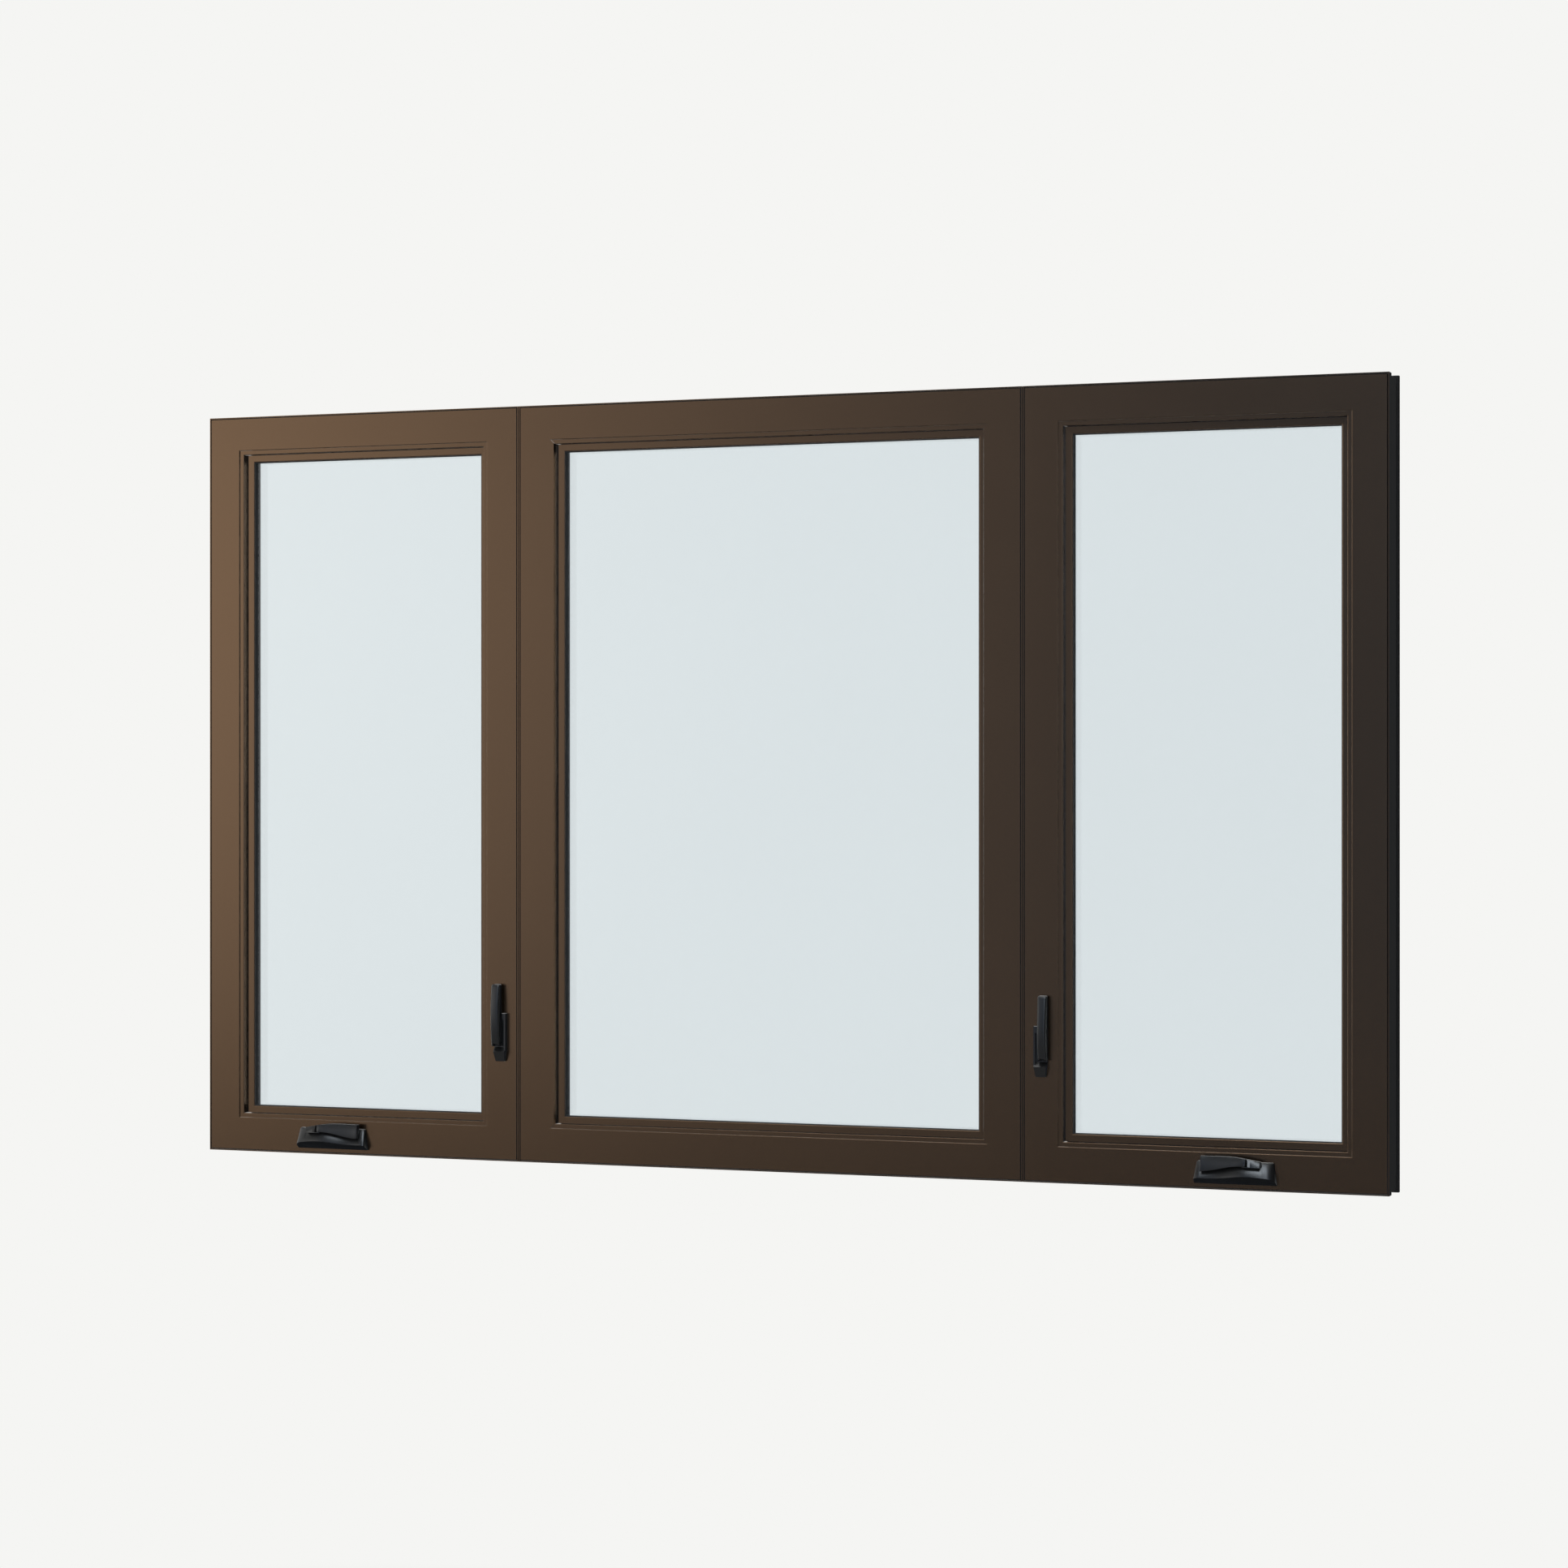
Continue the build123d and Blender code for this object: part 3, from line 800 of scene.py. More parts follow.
@dataclass
class CrankOperator:
    """A crank operator: a cover with a waved front, the arm folded into it and the hub of its pin.

    Attributes:
        front: Points of the waved front from the fixed light's end on: share of the length, and depth.
        end_turn: How steeply the front falls back at the end towards the hinges.
        toe: How much further out the front stands at the bottom.
        lean: How far the front leans back at the top.
        end_lean: How far the ends lean in at the top.
        mull_round: Round of the corner towards the fixed light.
        hinge_round: Round of the corner towards the hinges.
        sole: Width of the flat underside by the frame.
        sole_rise: How steeply the underside rises in front of that.
        rim: Round of the upper edge.
        tip_depth: How far the arm's tip stands out.
        tip_set_back: How far that tip stands back from the CAD arm's.
        hub_reach: How far the hub runs on beyond the CAD hub.
        arm_thickness: Thickness of the arm.
        arm_lean: How far the arm leans back at its top.
        pin_lean: Share of that lean at the pin.
        lean_run: How far from the pin the lean is whole.
        arm_level: Where the arm's top starts to fall, as a share of the way to its pin.
        arm_run_out: How far before its pin the arm's lower edge levels out.
        arm_top: Height of the arm's top above the cover's foot.
        hub_top: Height of the hub at its end, above the cover's foot.
        hub_fall: How steeply the top falls at the hub's end.
        hub_turn: How many times steeper than the cover's front the hub turns back at its end.
        nest_gap: Gap round the folded arm.
        tip_round: Round of the arm's tip.
        knuckle: Radius of the arm's knuckle.
        knuckle_set_in: How far the knuckle lies within the arm's faces.
        knuckle_cut: How far behind the knuckle's front its leaning cut starts.
        pin: Radius of the pin.
        pin_gap: Gap round the pin.
        fold: How far the arm folds out, in degrees.
        swing_gap: Gap between the hub and the turning knuckle.
        leaf_length: Length of the leaf under the knuckle.
        leaf_thickness: Thickness of that leaf.
        edge: How far sharp edges are broken.
        columns: How many steps the waved front has.
        corner_steps: How many facets the cover's corners have.
        rim_steps: How many facets the upper edge has.
        tip_steps: How many facets the arm's tip has.
    """

    front: tuple[Span, ...] = ((0.0, 0.018), (0.3, 0.0193), (0.6, 0.0276), (1.0, 0.0195))
    end_turn: float = 0.3
    toe: float = 0.003
    lean: float = 0.012
    end_lean: float = 0.005
    mull_round: float = 0.008
    hinge_round: float = 0.012
    sole: float = 0.003
    sole_rise: float = 0.68
    rim: float = 0.002
    tip_depth: float = 0.0222
    tip_set_back: float = 0.0045
    hub_reach: float = 0.005
    arm_thickness: float = 0.010
    arm_lean: float = 0.004
    pin_lean: float = 0.35
    lean_run: float = 0.03
    arm_level: float = 0.8
    arm_run_out: float = 0.008
    arm_top: float = 0.0455
    hub_top: float = 0.039
    hub_fall: float = 0.2
    hub_turn: float = 2.0
    nest_gap: float = 0.0015
    tip_round: float = 0.003
    knuckle: float = 0.0034
    knuckle_set_in: float = 0.0002
    knuckle_cut: float = 0.0008
    pin: float = 0.0016
    pin_gap: float = 0.00005
    fold: float = 120.0
    swing_gap: float = 0.0006
    leaf_length: float = 0.0105
    leaf_thickness: float = 0.0011
    edge: float = 0.0006
    columns: int = 30
    corner_steps: int = 7
    rim_steps: int = 3
    tip_steps: int = 5

    def __post_init__(self) -> None:
        """Take the places of the pieces from the frame."""
        self.low, self.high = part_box("right_operator_cover")
        arm_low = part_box("right_crank_arm")[0]
        hub_low, hub_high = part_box("right_crank_hub")
        self.room = self.high.y
        self.turn = joint_place("right_crank_fold")
        self.tip = arm_low.x + self.tip_set_back
        self.hub_end = hub_high.x + self.hub_reach
        self.hub_base = hub_low.z
        length = self.high.x - self.low.x
        wave = tuple((self.low.x + share * length, depth) for share, depth in self.front)
        self.wave = Curve(wave, 0.0, -self.end_turn)
        sweep = ((self.tip, self.tip_depth), (self.turn.x, self.room - self.turn.y + self.knuckle),
                 (self.hub_end, self.wave.at(self.hub_end)))
        fall = (self.wave.at(self.hub_end) - self.wave.at(self.turn.x)) / (self.hub_end - self.turn.x)
        self.sweep = Curve(sweep, 0.0, self.hub_turn * fall)
        self.lower = Curve(((self.tip, arm_low.z), (self.turn.x - self.arm_run_out, self.turn.z)), 0.0, 0.0)
        top = self.low.z + self.arm_top
        upper = ((self.tip, top), (self.tip + self.arm_level * (self.turn.x - self.tip), top),
                 (self.hub_end, self.low.z + self.hub_top))
        self.upper = Curve(upper, 0.0, -self.hub_fall)

    def band(self, name: str, start: float, end: float, grow: float = 0.0) -> Piece:
        """Model a bar that follows the waved front, with curved edges above and below.

        Args:
            name: Name of the bar.
            start: Where it starts along X.
            end: Where it ends along X.
            grow: How far its faces stand outside the arm's.

        Returns:
            The bar.
        """
        half = self.arm_thickness / 2
        bar = block(name, (start, -half, -half), (end, half, half))
        with editing(bar):
            pick(bar, Pick.EDGE, edge_at(Axis.X))
            bpy.ops.mesh.subdivide(number_cuts=self.columns)
            for x in places(bar, Axis.X):
                face = self.room - self.sweep.at(x)
                back = face + self.arm_thickness + grow
                top = self.upper.at(x) + grow
                lean = self.arm_lean * min(1.0, self.pin_lean + abs(x - self.turn.x) / self.lean_run)
                bottom = self.lower.at(x) - grow
                shift(bar, corner_at(x=x, y=-half), (0.0, face - grow + half, 0.0))
                shift(bar, corner_at(x=x, y=half), (0.0, back - half, 0.0))
                shift(bar, corner_at(x=x, z=half), (0.0, lean, top - half))
                shift(bar, corner_at(x=x, z=-half), (0.0, 0.0, bottom + half))
        return bar

    def build_cover(self) -> Piece:
        """Model the cover.

        Returns:
            The cover.
        """
        low, high, room = self.low, self.high, self.room
        start = max(depth for _, depth in self.front)
        cover = block("right_operator_casting", (low.x, room - start, low.z), (high.x, room, high.z))
        with editing(cover):
            for x, radius in ((low.x, self.mull_round), (high.x, self.hinge_round)):
                round_edges(cover, edge_at(Axis.Z, x=x, y=room - start), radius, self.corner_steps)
            pick(cover, Pick.EDGE, edge_at(Axis.X))
            bpy.ops.mesh.subdivide(number_cuts=self.columns)
            for x in places(cover, Axis.X):
                for z, proud in ((low.z, self.toe), (high.z, -self.lean)):
                    scale = (self.wave.at(x) + proud) / start
                    stretch(cover, corner_at(x=x, z=z), (1.0, scale, 1.0), (x, room, z))
            narrow = 1.0 - 2 * self.end_lean / (high.x - low.x)
            stretch(cover, corner_at(z=high.z), (narrow, 1.0, 1.0), (low + high) / 2)
            trim((0.0, room - self.sole, low.z), (0.0, self.sole_rise, 1.0))
            round_edges(cover, upper_edge(high.z, room), self.rim, self.rim_steps)
        nest = self.band("nest", self.tip - self.nest_gap, self.hub_end + self.nest_gap, self.nest_gap)
        combine(cover, nest, Join.DIFFERENCE)
        soften(cover, self.edge)
        return cover

    def build_arm(self) -> Piece:
        """Model the folded arm, with the knuckle that turns on the pin.

        Returns:
            The arm.
        """
        arm = self.band("right_crank_arm_casting", self.tip, self.turn.x)
        with editing(arm):
            round_edges(arm, edge_at(Axis.Z, x=self.tip), self.tip_round, self.tip_steps)
        top = self.upper.at(self.turn.x)
        centre = (self.turn.x, self.turn.y, (self.turn.z + top) / 2)
        height = top - self.turn.z - 2 * self.knuckle_set_in
        knuckle = rod("knuckle", centre, Axis.Z, self.knuckle - self.knuckle_set_in, height)
        with editing(knuckle):
            front = self.turn + Vector((0.0, self.knuckle_cut - self.knuckle, 0.0))
            trim(front, (0.0, top - self.turn.z, -self.arm_lean * self.pin_lean))
        combine(arm, knuckle)
        combine(arm, rod("bore", centre, Axis.Z, self.pin + self.pin_gap, 2 * top), Join.DIFFERENCE)
        soften(arm, self.edge)
        return arm

    def build_hub(self) -> Piece:
        """Model the hub, the leaf under the knuckle and the pin.

        Returns:
            The hub.
        """
        angle = math.radians(self.fold)
        square = Vector((math.sin(angle), -math.cos(angle), 0.0))
        face = self.turn + square * (self.knuckle + self.swing_gap)
        hub = self.band("right_crank_hub_casting", self.turn.x, self.hub_end)
        with editing(hub):
            trim(face, square)
            shift(hub, corner_at(z=self.turn.z), (0.0, 0.0, self.hub_base - self.turn.z))
        x, y = self.turn.x, self.turn.y
        leaf_top = self.hub_base + self.leaf_thickness
        leaf = block("leaf", (x, y - self.knuckle, self.hub_base),
                     (x + self.leaf_length, y + self.knuckle, leaf_top))
        combine(hub, leaf)
        level = (self.hub_base + leaf_top) / 2
        disc = rod("disc", (x, y, level), Axis.Z, self.knuckle, self.leaf_thickness)
        combine(hub, disc)
        top = self.upper.at(x)
        pin = rod("pin", (x, y, (self.hub_base + top) / 2), Axis.Z, self.pin, top - self.hub_base)
        combine(hub, pin)
        soften(hub, self.edge / 2)
        return hub

    def build(self, shop: Paintshop) -> None:
        """Model and dress the right operator and its mirror image.

        Args:
            shop: The finishes.
        """
        shop.fit_pair(self.build_cover(), "operator_cover")
        shop.fit_pair(self.build_hub(), "crank_hub")
        shop.fit_pair(self.build_arm(), "crank_arm", moves=True)


@dataclass
class CasementLock:
    """A casement lock: a plate with a wedge-shaped foot, and the lever that turns on it.

    Attributes:
        plate_thickness: Thickness of the plate.
        foot_height: Height of the foot.
        foot_ridge: Height at which the foot stands out most.
        foot_depth: How far it stands out there.
        toe_depth: How far it stands out at the bottom.
        foot_taper: How far the foot's sides lean in at the bottom.
        top_round: Round of the plate's upper corners.
        bottom_round: Round of the foot's lower corners.
        cheek_width: Width of the cheek beside the lever.
        cheek_depth: How far the cheek stands out.
        boss_width: Width of the boss at the cheek's top.
        boss_height: Height of that boss.
        lug_width: Width of the lug that carries the pin.
        lug_radius: Radius of the lug's end.
        pin: Radius of the pin.
        pin_length: Length of the pin.
        pin_gap: Gap round the pin.
        lever_tip: Depth of the lever at its tip.
        lever_root: Depth of the lever at its pin.
        lever_round: Round of the lever's long edges.
        cap_round: Round of the lever's upper end.
        fork_width: Width of the fork's slot.
        fork_gap: Gap between the slot and the lug's end.
        swing: How far the lever turns, in degrees.
        edge: How far sharp edges are broken.
        rows: How many steps the lever's side view has.
        root_angles: Where the lowest of them lie on the round of the lever's root, in degrees.
        fork_cuts: How many cuts clear the fork's slot.
        corner_steps: How many facets the plate's corners have.
        lever_steps: How many facets the lever's long edges have.
        cap_steps: How many facets the lever's upper end has.
    """

    plate_thickness: float = 0.004
    foot_height: float = 0.025
    foot_ridge: float = 0.017
    foot_depth: float = 0.012
    toe_depth: float = 0.0055
    foot_taper: float = 0.003
    top_round: float = 0.004
    bottom_round: float = 0.002
    cheek_width: float = 0.003
    cheek_depth: float = 0.009
    boss_width: float = 0.007
    boss_height: float = 0.011
    lug_width: float = 0.006
    lug_radius: float = 0.0032
    pin: float = 0.0015
    pin_length: float = 0.013
    pin_gap: float = 0.00005
    lever_tip: float = 0.0095
    lever_root: float = 0.011
    lever_round: float = 0.004
    cap_round: float = 0.003
    fork_width: float = 0.007
    fork_gap: float = 0.0005
    swing: float = 130.0
    edge: float = 0.0005
    rows: int = 24
    root_angles: tuple[float, ...] = (80.0, 60.0, 40.0, 20.0)
    fork_cuts: int = 4
    corner_steps: int = 4
    lever_steps: int = 6
    cap_steps: int = 4

    def __post_init__(self) -> None:
        """Take the places of the pieces from the frame."""
        self.low, self.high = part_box("right_lock_plate")
        self.lever_low, self.lever_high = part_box("right_lock_lever")
        self.room = self.high.y
        self.pivot = joint_place("right_lock_turn")

    def proud(self, z: float) -> float:
        """How far the plate and its foot stand out from the room face at a height."""
        depths = (self.toe_depth, self.foot_depth, self.plate_thickness)
        return float(np.interp(z - self.low.z, (0.0, self.foot_ridge, self.foot_height), depths))

    def build_plate(self) -> Piece:
        """Model the plate with its foot, cheek, boss, lug and pin.

        Returns:
            The plate.
        """
        low, high, room, pivot = self.low, self.high, self.room, self.pivot
        front = room - self.plate_thickness
        plate = block("right_lock_plate_casting", (low.x, front, low.z), (high.x, room, high.z))
        with editing(plate):
            for z, radius in ((high.z, self.top_round), (low.z, self.bottom_round)):
                round_edges(plate, edge_at(Axis.Y, z=z), radius, self.corner_steps)
            split_at(low.z + self.foot_ridge)
            split_at(low.z + self.foot_height)
            for z in places(plate, Axis.Z):
                out = front - room + self.proud(z)
                shift(plate, corner_at(y=front, z=z), (0.0, -out, 0.0))
            for z in places(plate, Axis.Z):
                share = max(0.0, 1.0 - (z - low.z) / self.foot_height)
                narrow = 1.0 - 2 * self.foot_taper * share / (high.x - low.x)
                stretch(plate, corner_at(z=z), (narrow, 1.0, 1.0), (low + high) / 2)
        cheek_face = room - self.cheek_depth
        cheek = block("cheek", (low.x, cheek_face, low.z + self.foot_ridge),
                      (low.x + self.cheek_width, room, high.z))
        boss = block("boss", (low.x, cheek_face, high.z - self.boss_height),
                     (low.x + self.boss_width, room, high.z))
        combine(cheek, boss)
        with editing(cheek):
            round_edges(cheek, edge_at(Axis.Y, x=low.x, z=high.z), self.top_round, self.corner_steps)
        combine(plate, cheek)
        half = self.lug_width / 2
        stem = block("stem", (pivot.x - half, pivot.y, pivot.z - self.lug_radius),
                     (pivot.x + half, room, pivot.z + self.lug_radius))
        combine(plate, stem)
        combine(plate, rod("lug", pivot, Axis.X, self.lug_radius, self.lug_width))
        combine(plate, rod("pin", pivot, Axis.X, self.pin, self.pin_length))
        soften(plate, self.edge)
        return plate

    def lever_rows(self) -> list[tuple[float, float, float]]:
        """Work out the lever's side view.

        Returns:
            The height, the front and the back of each row, from the root up.
        """
        pivot, back = self.pivot, self.lever_high.y
        radius = back - pivot.y
        heights = (pivot.z, (pivot.z + self.lever_high.z) / 2, self.lever_high.z)
        fronts = (back - self.lever_root, self.lever_low.y, back - self.lever_tip)
        bow = np.polyfit(heights, fronts, 2)
        rows = []
        for angle in map(math.radians, self.root_angles):
            half = radius * math.cos(angle)
            rows.append((pivot.z - radius * math.sin(angle), pivot.y - half, pivot.y + half))
        for z in np.linspace(pivot.z, self.lever_high.z, self.rows - len(rows)):
            rows.append((float(z), float(np.polyval(bow, z)), back))
        return rows

    def build_lever(self) -> Piece:
        """Model the lever, forked over the plate's lug.

        Returns:
            The lever.
        """
        low, high, pivot = self.lever_low, self.lever_high, self.pivot
        back = high.y
        front = back - self.lever_root
        lever = block("right_lock_lever_casting", (low.x, front, low.z), (high.x, back, high.z))
        with editing(lever):
            round_edges(lever, edge_at(Axis.Z, y=front), self.lever_round, self.lever_steps)
            pick(lever, Pick.EDGE, edge_at(Axis.Z))
            bpy.ops.mesh.subdivide(number_cuts=self.rows - 2)
            centre = (front + back) / 2
            for old, (z, face, rear) in zip(places(lever, Axis.Z), self.lever_rows()):
                scale = (rear - face) / self.lever_root
                stretch(lever, corner_at(z=old), (1.0, scale, 1.0), (pivot.x, centre, old))
                shift(lever, corner_at(z=old), (0.0, (face + rear) / 2 - centre, z - old))
            round_edges(lever, upper_edge(high.z, back), self.cap_round, self.cap_steps)
        slot_half = self.lug_radius + self.fork_gap
        combine(lever, rod("slot_end", pivot, Axis.X, slot_half, self.fork_width), Join.DIFFERENCE)
        reach = self.lever_root
        for angle in np.linspace(0.0, -math.radians(self.swing), self.fork_cuts):
            way = Vector((0.0, math.cos(angle), math.sin(angle)))
            size = Vector((self.fork_width, reach, 2 * slot_half)) / 2
            place = pivot + way * reach / 2
            slot = block("slot", place - size, place + size, (float(angle), 0.0, 0.0))
            combine(lever, slot, Join.DIFFERENCE)
        bore = rod("bore", pivot, Axis.X, self.pin + self.pin_gap, 2 * (high.x - low.x))
        combine(lever, bore, Join.DIFFERENCE)
        soften(lever, self.edge)
        return lever

    def build(self, shop: Paintshop) -> None:
        """Model and dress the right lock and its mirror image."""
        shop.fit_pair(self.build_plate(), "lock_plate")
        shop.fit_pair(self.build_lever(), "lock_lever", moves=True)


@dataclass
class GlazingGasket:
    """A black rubber strip on the room side of the glass: a glazing gasket that also lines the whole sight
    wall of the inner frame as painted shade.

    Attributes:
        unit: The window unit.
        width: How far it covers the glass.
        set_back: How far it stops behind the inner frame's room face.
        edge: Round of its free edge.
        edge_steps: How many facets that round has.
    """

    unit: Unit
    width: float = 0.0012
    set_back: float = 0.0012
    edge: float = 0.0008
    edge_steps: int = 3

    def opening(self) -> tuple[Vector, Vector]:
        """Find the opening that the glass shows through.

        Returns:
            Its lowest and highest corners, on the room face of the glass.
        """
        name, kind, left, right = self.unit.value
        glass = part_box(f"{name}_glass")[0].y
        stem = f"{name}_{kind}"
        low = Vector((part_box(f"{stem}_{left}_stile")[1].x, glass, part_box(f"{stem}_bottom_rail")[1].z))
        high = Vector((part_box(f"{stem}_{right}_stile")[0].x, glass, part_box(f"{stem}_top_rail")[0].z))
        return low, high

    def build(self, shop: Paintshop) -> None:
        """Model and dress the strip round the opening.

        Args:
            shop: The finishes.
        """
        low, high = self.opening()
        size = high - low
        name, kind, left, _ = self.unit.value
        # the strip runs back over the whole depth of the sight wall, as painted shade on that wall
        height = low.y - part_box(f"{name}_{kind}_{left}_stile")[0].y - self.set_back
        centre = (low + high) / 2
        strip = start_piece(f"{name}_glazing_gasket", bpy.ops.mesh.primitive_plane_add, size=1.0,
                            location=centre, rotation=(math.pi / 2, 0.0, 0.0))
        inner = Vector((size.x / 2 - self.width, 0.0, size.z / 2 - self.width))
        with editing(strip):
            stretch(strip, corner_at(), (size.x, 1.0, size.z), centre)
            bpy.ops.mesh.select_all(action="SELECT")
            bpy.ops.mesh.inset(thickness=self.width)
            bpy.ops.mesh.delete(type="FACE")
            bpy.ops.mesh.select_all(action="SELECT")
            bpy.ops.mesh.extrude_region_move(TRANSFORM_OT_translate={"value": (0.0, -height, 0.0)})
            face_outwards()
            round_edges(strip, lambda edge: near(middle(edge).y, low.y - height)
                        and abs(middle(edge).x - centre.x) < inner.x + TOUCH
                        and abs(middle(edge).z - centre.z) < inner.z + TOUCH
                        and (runs(edge, Axis.X) or runs(edge, Axis.Z)), self.edge, self.edge_steps)
        smooth(strip)
        strip.visible_glossy = False
        shop.fit(strip, Slot.SPACER, "window")


@dataclass(frozen=True)
class Flag:
    """A dark card that only gloss sees, for walls that face away from the light.

    Attributes:
        name: Name of the card.
        corners: Its four corners.
        colour: Linear colour.
    """

    name: str
    corners: tuple[Point, ...]
    colour: Colour = (0.01, 0.0105, 0.0115)

    @classmethod
    def lying(cls, name: str, outline: tuple[Span, ...], colour: Colour = (0.025, 0.03, 0.04)) -> "Flag":
        """Make a card that lies just above the floor, from the places of its corners along X and Y."""
        return cls(name, tuple((x, y, FLAG_HEIGHT) for x, y in outline), colour)


@dataclass
class Studio:
    """The pale stage, the soft lights and the camera.

    Attributes:
        pale: Linear colour of the surroundings.
        ambient: Strength of their soft light.
        floor_z: Height of the floor.
        floor_half: Half of the floor's width.
        floor_rough: Roughness of the floor.
        floor_patch: Half width and half depth of the patch that shows the shadow.
        floor_clear: Where that patch starts to fade and where it has gone, in its own size.
        eye: Where the camera stands.
        target: What it looks at.
        lens: Its focal length in millimetres.
        sight: How far it sees.
        card_y: Where the reflector in front of the window stands.
        card_half: Half of its width.
        card_rise: Its lower and upper edges.
        card_dim: Linear colour of its dim side.
        card_gain: What the bright side adds.
        card_bright: Where along X it has that brightness.
        card_peak: Where it stops growing brighter, in shares of that place.
        card_power: How fast it dims towards the middle.
        card_lift: The heights between which it brightens.
        card_lifted: How bright it is at the upper of these.
        card_top: The heights between which its upper edge dims.
        card_topped: What is left of it at the upper of these.
        box_end: Where along X both lights below start to dim and are out.
        box_side: Where along X the high light box starts and is full.
        box_lift: The heights between which that box starts and is full.
        box_gain: What that box adds.
        strip_side: Where along X the upright strip light starts and is full.
        strip_lift: The heights between which that strip brightens.
        strip_gain: What that strip adds.
        lamp_size: Width of the lamp overhead.
        lamp_power: Its power in watts.
        lamp_place: Where it hangs.
        FLAGS: The dark cards.
    """

    pale: Colour = (0.913, 0.913, 0.896)
    ambient: float = 0.9
    floor_z: float = -0.9
    floor_half: float = 40.0
    floor_rough: float = 0.9
    floor_patch: Span = (1.5, 0.7)
    floor_clear: Span = (0.8, 1.25)
    eye: Point = (2.1597, -5.7786, 0.657)
    target: Point = (0.0365, -0.0415, 0.657)
    lens: float = 82.64
    sight: float = 200.0
    card_y: float = -9.0
    card_half: float = 14.0
    card_rise: Span = (-6.0, 10.0)
    card_dim: Colour = (0.08, 0.16, 0.315)
    card_gain: Colour = (1.35, 1.26, 1.11)
    card_bright: float = -6.03
    card_peak: float = 1.2
    card_power: float = 1.85
    card_lift: Span = (-4.4, 2.1)
    card_lifted: float = 1.17
    card_top: Span = (3.0, 4.4)
    card_topped: float = 0.1
    box_end: Span = (3.4, 5.6)
    box_side: Span = (-2.1, -0.5)
    box_lift: Span = (5.0, 6.4)
    box_gain: Colour = (7.4, 8.2, 9.0)
    strip_side: Span = (1.4, 3.0)
    strip_lift: Span = (-4.0, 3.0)
    strip_gain: Colour = (3.2, 3.5, 3.8)
    lamp_size: float = 3.0
    lamp_power: float = 30.0
    lamp_place: Point = (-0.5, -1.5, 4.5)

    FLAGS: ClassVar[tuple[Flag, ...]] = (
        Flag("side_flag", ((-0.4, 10.0, -6.0), (9.0, 10.0, -6.0), (9.0, 10.0, 8.0), (-0.4, 10.0, 8.0))),
        Flag("head_flag", ((-14.0, 10.0, -6.0), (0.5, 10.0, -6.0), (0.5, 10.0, 0.45), (-14.0, 10.0, 0.45))),
        Flag("end_flag", ((9.0, -9.0, -6.0), (9.0, 10.0, -6.0), (9.0, 10.0, 10.0), (9.0, -9.0, 10.0))),
        Flag.lying("low_flag", ((-9.0, -7.0), (9.0, -7.0), (9.0, -4.0), (-9.0, -4.0))),
        Flag.lying("near_flag", ((-9.0, -4.0), (9.0, -4.0), (9.0, -0.5), (-9.0, -0.5)), (0.28, 0.28, 0.28)),
        Flag.lying("sill_flag", ((-2.2, -0.5), (9.0, -0.5), (9.0, 1.2), (-2.2, 1.2))),
        Flag.lying("back_flag", ((-1.0, 1.2), (0.2, 1.2), (9.0, 10.0), (-1.0, 10.0))),
    )

    def world(self) -> None:
        """Make the pale surroundings."""
        world = bpy.data.worlds.new("studio")
        world.use_nodes = True
        board = Board(world.node_tree)
        strength = board.ramp(board.seen(), (0.0, 1.0), (self.ambient, 1.0))
        board.fill(world.node_tree.nodes["Background"], {"Color": (*self.pale, 1.0), "Strength": strength})
        bpy.context.scene.world = world

    def camera(self) -> None:
        """Stand the camera at the photograph's place."""
        data = bpy.data.cameras.new("camera")
        data.lens = self.lens
        data.clip_end = self.sight
        bpy.context.scene.camera = aimed("camera", data, self.eye, self.target)

    def floor(self) -> None:
        """Lay the pale floor, which shows the window's shadow and runs out into the pale surroundings."""
        floor = start_piece("floor", bpy.ops.mesh.primitive_plane_add, size=2 * self.floor_half,
                            location=(0.0, 0.0, self.floor_z))
        material, board, shader = new_material("floor")
        board.fill(shader, {"Base Color": (*self.pale, 1.0), "Roughness": self.floor_rough})
        glow = board.add("Emission", {"Color": (*self.pale, 1.0)})
        split = board.add("SeparateXYZ", {0: board.place()}).outputs
        wide, deep = self.floor_patch
        flat = board.add("CombineXYZ", {"X": board.math("DIVIDE", split["X"], wide),
                                        "Y": board.math("DIVIDE", split["Y"], deep)})
        away = board.add("VectorMath", {0: flat.outputs[0]}, operation="LENGTH").outputs["Value"]
        share = board.math("MULTIPLY", board.ramp(away, self.floor_clear), board.seen())
        board.surface(board.add("MixShader", {0: share, 1: shader.outputs[0], 2: glow.outputs[0]}))
        floor.data.materials.append(material)

    def card(self, name: str, corners: tuple[Point, ...]) -> tuple[Board, bpy.types.Node]:
        """Stand up a card that only gloss sees.

        Args:
            name: Name of the card.
            corners: Its four corners.

        Returns:
            The board of its material, and the node that makes it glow.
        """
        mesh = bpy.data.meshes.new(name)
        mesh.from_pydata(corners, [], [(0, 1, 2, 3)])
        card = bpy.data.objects.new(name, mesh)
        bpy.context.scene.collection.objects.link(card)
        for ray in ("camera", "diffuse", "transmission", "shadow", "volume_scatter"):
            setattr(card, f"visible_{ray}", False)
        material, board, _ = new_material(name)
        glow = board.add("Emission")
        board.surface(glow)
        mesh.materials.append(material)
        return board, glow

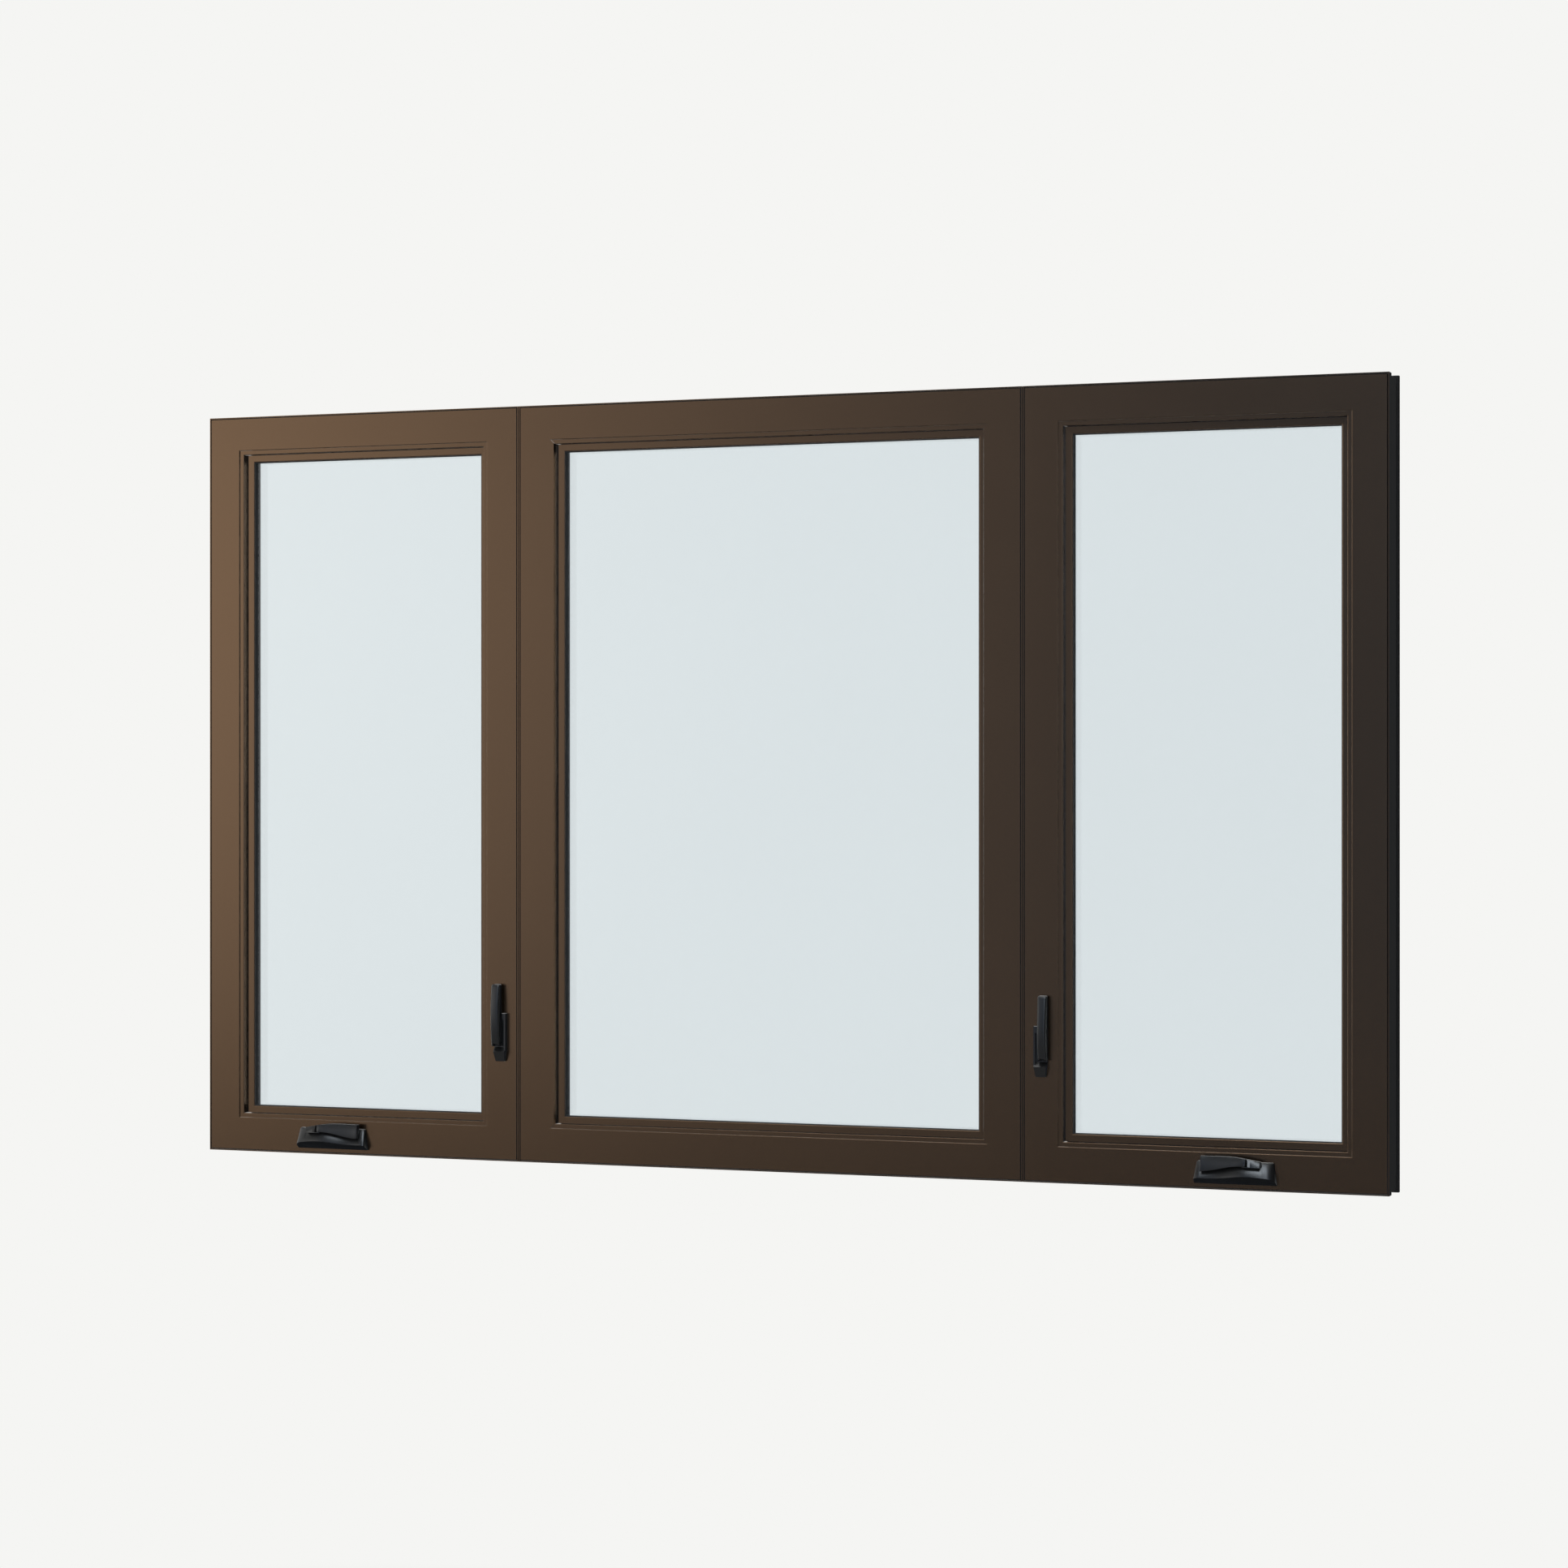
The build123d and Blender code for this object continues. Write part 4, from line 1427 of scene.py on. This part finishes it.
    def reflector(self) -> None:
        """Stand up the reflector in front: bright at the left, with a high light box and a strip light."""
        (foot, head), half, y = self.card_rise, self.card_half, self.card_y
        corners = ((-half, y, foot), (half, y, foot), (half, y, head), (-half, y, head))
        board, glow = self.card("front_card", corners)
        split = board.add("SeparateXYZ", {0: board.place()}).outputs
        share = board.math("MAXIMUM", board.math("DIVIDE", split["X"], self.card_bright), 0.0)
        left = board.math("POWER", board.math("MINIMUM", share, self.card_peak), self.card_power)
        lift = board.ramp(split["Z"], self.card_lift, (0.0, self.card_lifted))
        below = board.ramp(split["Z"], self.card_top, (1.0, self.card_topped))
        total = board.tint(self.card_dim, below)
        bright = board.math("MULTIPLY", below, board.math("MULTIPLY", left, lift))
        spans = ((self.box_side, self.box_lift), (self.strip_side, self.strip_lift))
        box, strip = (board.math("MULTIPLY", board.ramp(split["X"], side), board.ramp(split["Z"], rise))
                      for side, rise in spans)
        end = board.ramp(split["X"], self.box_end, (1.0, 0.0))
        for colour, share in ((self.card_gain, bright), (self.box_gain, box), (self.strip_gain, strip)):
            light = board.tint(colour, board.math("MULTIPLY", share, end))
            total = board.add("VectorMath", {0: total, 1: light}, operation="ADD").outputs["Vector"]
        board.feed(glow.inputs["Color"], total)

    def lamp(self) -> None:
        """Hang a wide soft lamp overhead."""
        data = bpy.data.lights.new("overhead", "AREA")
        data.size = self.lamp_size
        data.energy = self.lamp_power
        aimed("overhead", data, self.lamp_place, (0.0, 0.0, 0.0)).visible_camera = False

    def build(self) -> None:
        """Set the whole stage."""
        bpy.context.scene.view_settings.view_transform = "Standard"
        self.world()
        self.camera()
        self.floor()
        self.reflector()
        for flag in self.FLAGS:
            board, glow = self.card(flag.name, flag.corners)
            board.feed(glow.inputs["Color"], (*flag.colour, 1.0))
        self.lamp()


def main() -> None:
    """Dress the window, add its hardware and gaskets, and set the stage."""
    logging.basicConfig(level=logging.INFO, format="%(message)s")
    shop = Paintshop()
    shop.dress_nodes()
    CrankOperator().build(shop)
    CasementLock().build(shop)
    for unit in Unit:
        GlazingGasket(unit).build(shop)
    Studio().build()


if __name__ == "__main__":
    main()
